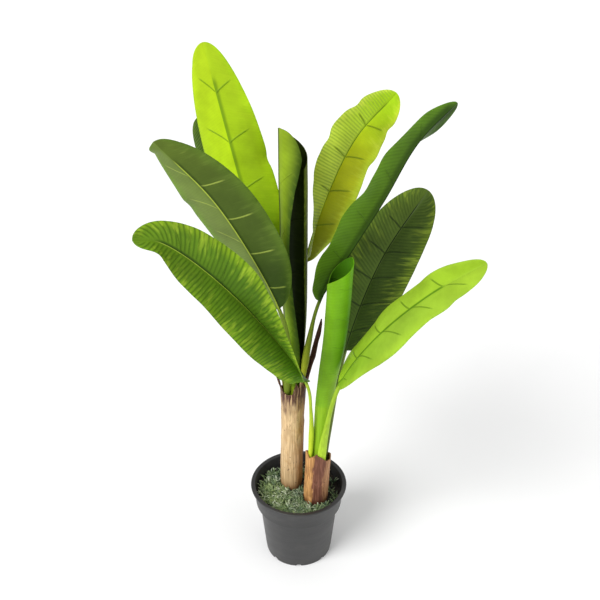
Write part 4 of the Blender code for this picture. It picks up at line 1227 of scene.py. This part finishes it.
deselect_all()
bpy.ops.mesh.primitive_ico_sphere_add(subdivisions=1, radius=1.0)
crumb = bpy.context.active_object
bpy.ops.object.mode_set(mode='EDIT')
bpy.ops.mesh.select_all(action='SELECT')
bpy.ops.transform.resize(value=(1.2, 0.9, 0.8))
bpy.ops.mesh.subdivide(number_cuts=1, fractal=0.4, seed=3)
bpy.ops.object.mode_set(mode='OBJECT')
draw = random.Random(7)
crumb_spots = []
for _ in range(CRUMBS):
    x, y = free_spot(draw, 0.0, 73.0)
    size = draw.uniform(0.7, 2.4)
    spin = turned(draw.uniform(0, math.tau), draw.uniform(0, math.pi), size * MM)
    crumb_spots.append((spin, np.array((x, y, SOIL_Z + 3.4 + draw.uniform(-0.5, 0.9))) * MM))
crumbs = scatter("soil_crumbs", crumb, crumb_spots, [0] * CRUMBS)
crumbs.data.materials.append(SOIL)
keep(crumbs, "dark_soil")

# %% [markdown]
# ## The grass
# Short plastic grass hides most of the soil. It is pushed in as small sprigs of narrow leaflets, thickest on
# the left and at the front. The leaflets are dark green below and lighter above, and patches of pale tips are a
# painted highlight. One leaflet is drawn up from a triangle, five make a sprig, and a few hundred sprigs are
# copied over the soil.

# %% The grass
SPRIGS = {"sprigs_fine": (330, (0.75, 1.15)), "sprigs_tall": (190, (1.0, 1.55))}
LEAFLET_STEPS = ((0.4, 0.0, 3.0, 1.5), (1.1, 0.0, 3.4, 1.25), (1.9, 0.0, 2.8, 0.75), (1.6, 0.0, 1.2, 0.15))
SPRIG_LEAFLETS = 5


def leaflet():
    deselect_all()
    bpy.ops.mesh.primitive_circle_add(vertices=3, radius=0.42, fill_type='NGON')
    made = bpy.context.active_object
    bpy.ops.object.mode_set(mode='EDIT')
    bpy.ops.mesh.select_all(action='SELECT')
    place = np.zeros(3)
    for dx, dy, dz, growth in LEAFLET_STEPS:
        bpy.ops.mesh.extrude_region_move(TRANSFORM_OT_translate={"value": (dx, dy, dz)})
        place += (dx, dy, dz)
        bpy.ops.transform.resize(value=(growth, growth * 1.15, 1), center_override=tuple(place))
    bpy.ops.mesh.select_all(action='SELECT')
    bpy.ops.mesh.normals_make_consistent(inside=False)
    bpy.ops.object.mode_set(mode='OBJECT')
    return made


def sprig():
    draw = random.Random(3)
    copies = []
    for k in range(SPRIG_LEAFLETS):
        turn = turned(math.tau * k / SPRIG_LEAFLETS + draw.uniform(-0.4, 0.4), draw.uniform(0.0, 0.5),
                      draw.uniform(0.75, 1.1))
        copies.append((turn, np.array((0, 0, -0.5))))
    return scatter("sprig", leaflet(), copies, [0] * SPRIG_LEAFLETS)


def grass_material():
    made, g, shader, coordinates = new_material("plastic_grass")
    place = g.node("ShaderNodeAttribute", {}, output=1, attribute_name="place")
    tint, height, _ = g.split(place)
    blotch = g.noise(coordinates, 45.0, detail=2.0)
    low = g.mix(tint, (0.010, 0.030, 0.014), (0.045, 0.095, 0.022))
    high = g.mix(tint, (0.10, 0.17, 0.09), (0.30, 0.40, 0.14))
    colour = g.mix(g.ramp(height, 0.25, 0.85), low, high)
    # Pale tips in patches: a painted highlight.
    pale = g.math('MULTIPLY', g.ramp(height, 0.6, 1.0), g.ramp(blotch, 0.42, 0.62))
    colour = g.mix(pale, colour, (0.62, 0.68, 0.50))
    grain = g.noise(coordinates, 700.0, detail=2.0)
    finish_shader(g, shader, colour, 0.42, grain, 0.0003, Specular_IOR_Level=0.5)
    return made


GRASS = grass_material()
for seed, (name, (count, sizes)) in enumerate(SPRIGS.items()):
    draw = random.Random(50 + seed)
    spots, tints = [], []
    while len(spots) < count:
        x, y = free_spot(draw, 2.0, 68.0)
        crowd = 0.12 + 0.88 * smoothstep(-0.75 * x - 0.65 * y + 12 * noise(x / 16, y / 16, 60), -22, 26)
        if draw.random() > crowd:
            continue
        size = draw.uniform(*sizes)
        spin = turned(draw.uniform(0, math.tau), draw.uniform(0, 0.35), size * MM)
        spots.append((spin, np.array((x, y, SOIL_Z + 2.6)) * MM))
        tints.append(np.clip(draw.uniform(0, 0.75) + (0.35 if x < -20 and y < 10 else 0), 0, 1))
    grass = scatter(name, sprig(), spots, tints)
    grass.data.materials.append(GRASS)
    if name == "sprigs_fine":
        keep(grass, "moss_green", "ground_cover")
    else:
        keep(grass, "moss_green")

# %% [markdown]
# ## Finish
# The outer measures of the solids and of the dressed plant are gathered side by side, so that they can be
# compared.

# %% Finish
size = {"cad": [list(corner) for corner in CAD_BOX], "visual": [list(corner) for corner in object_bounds()]}
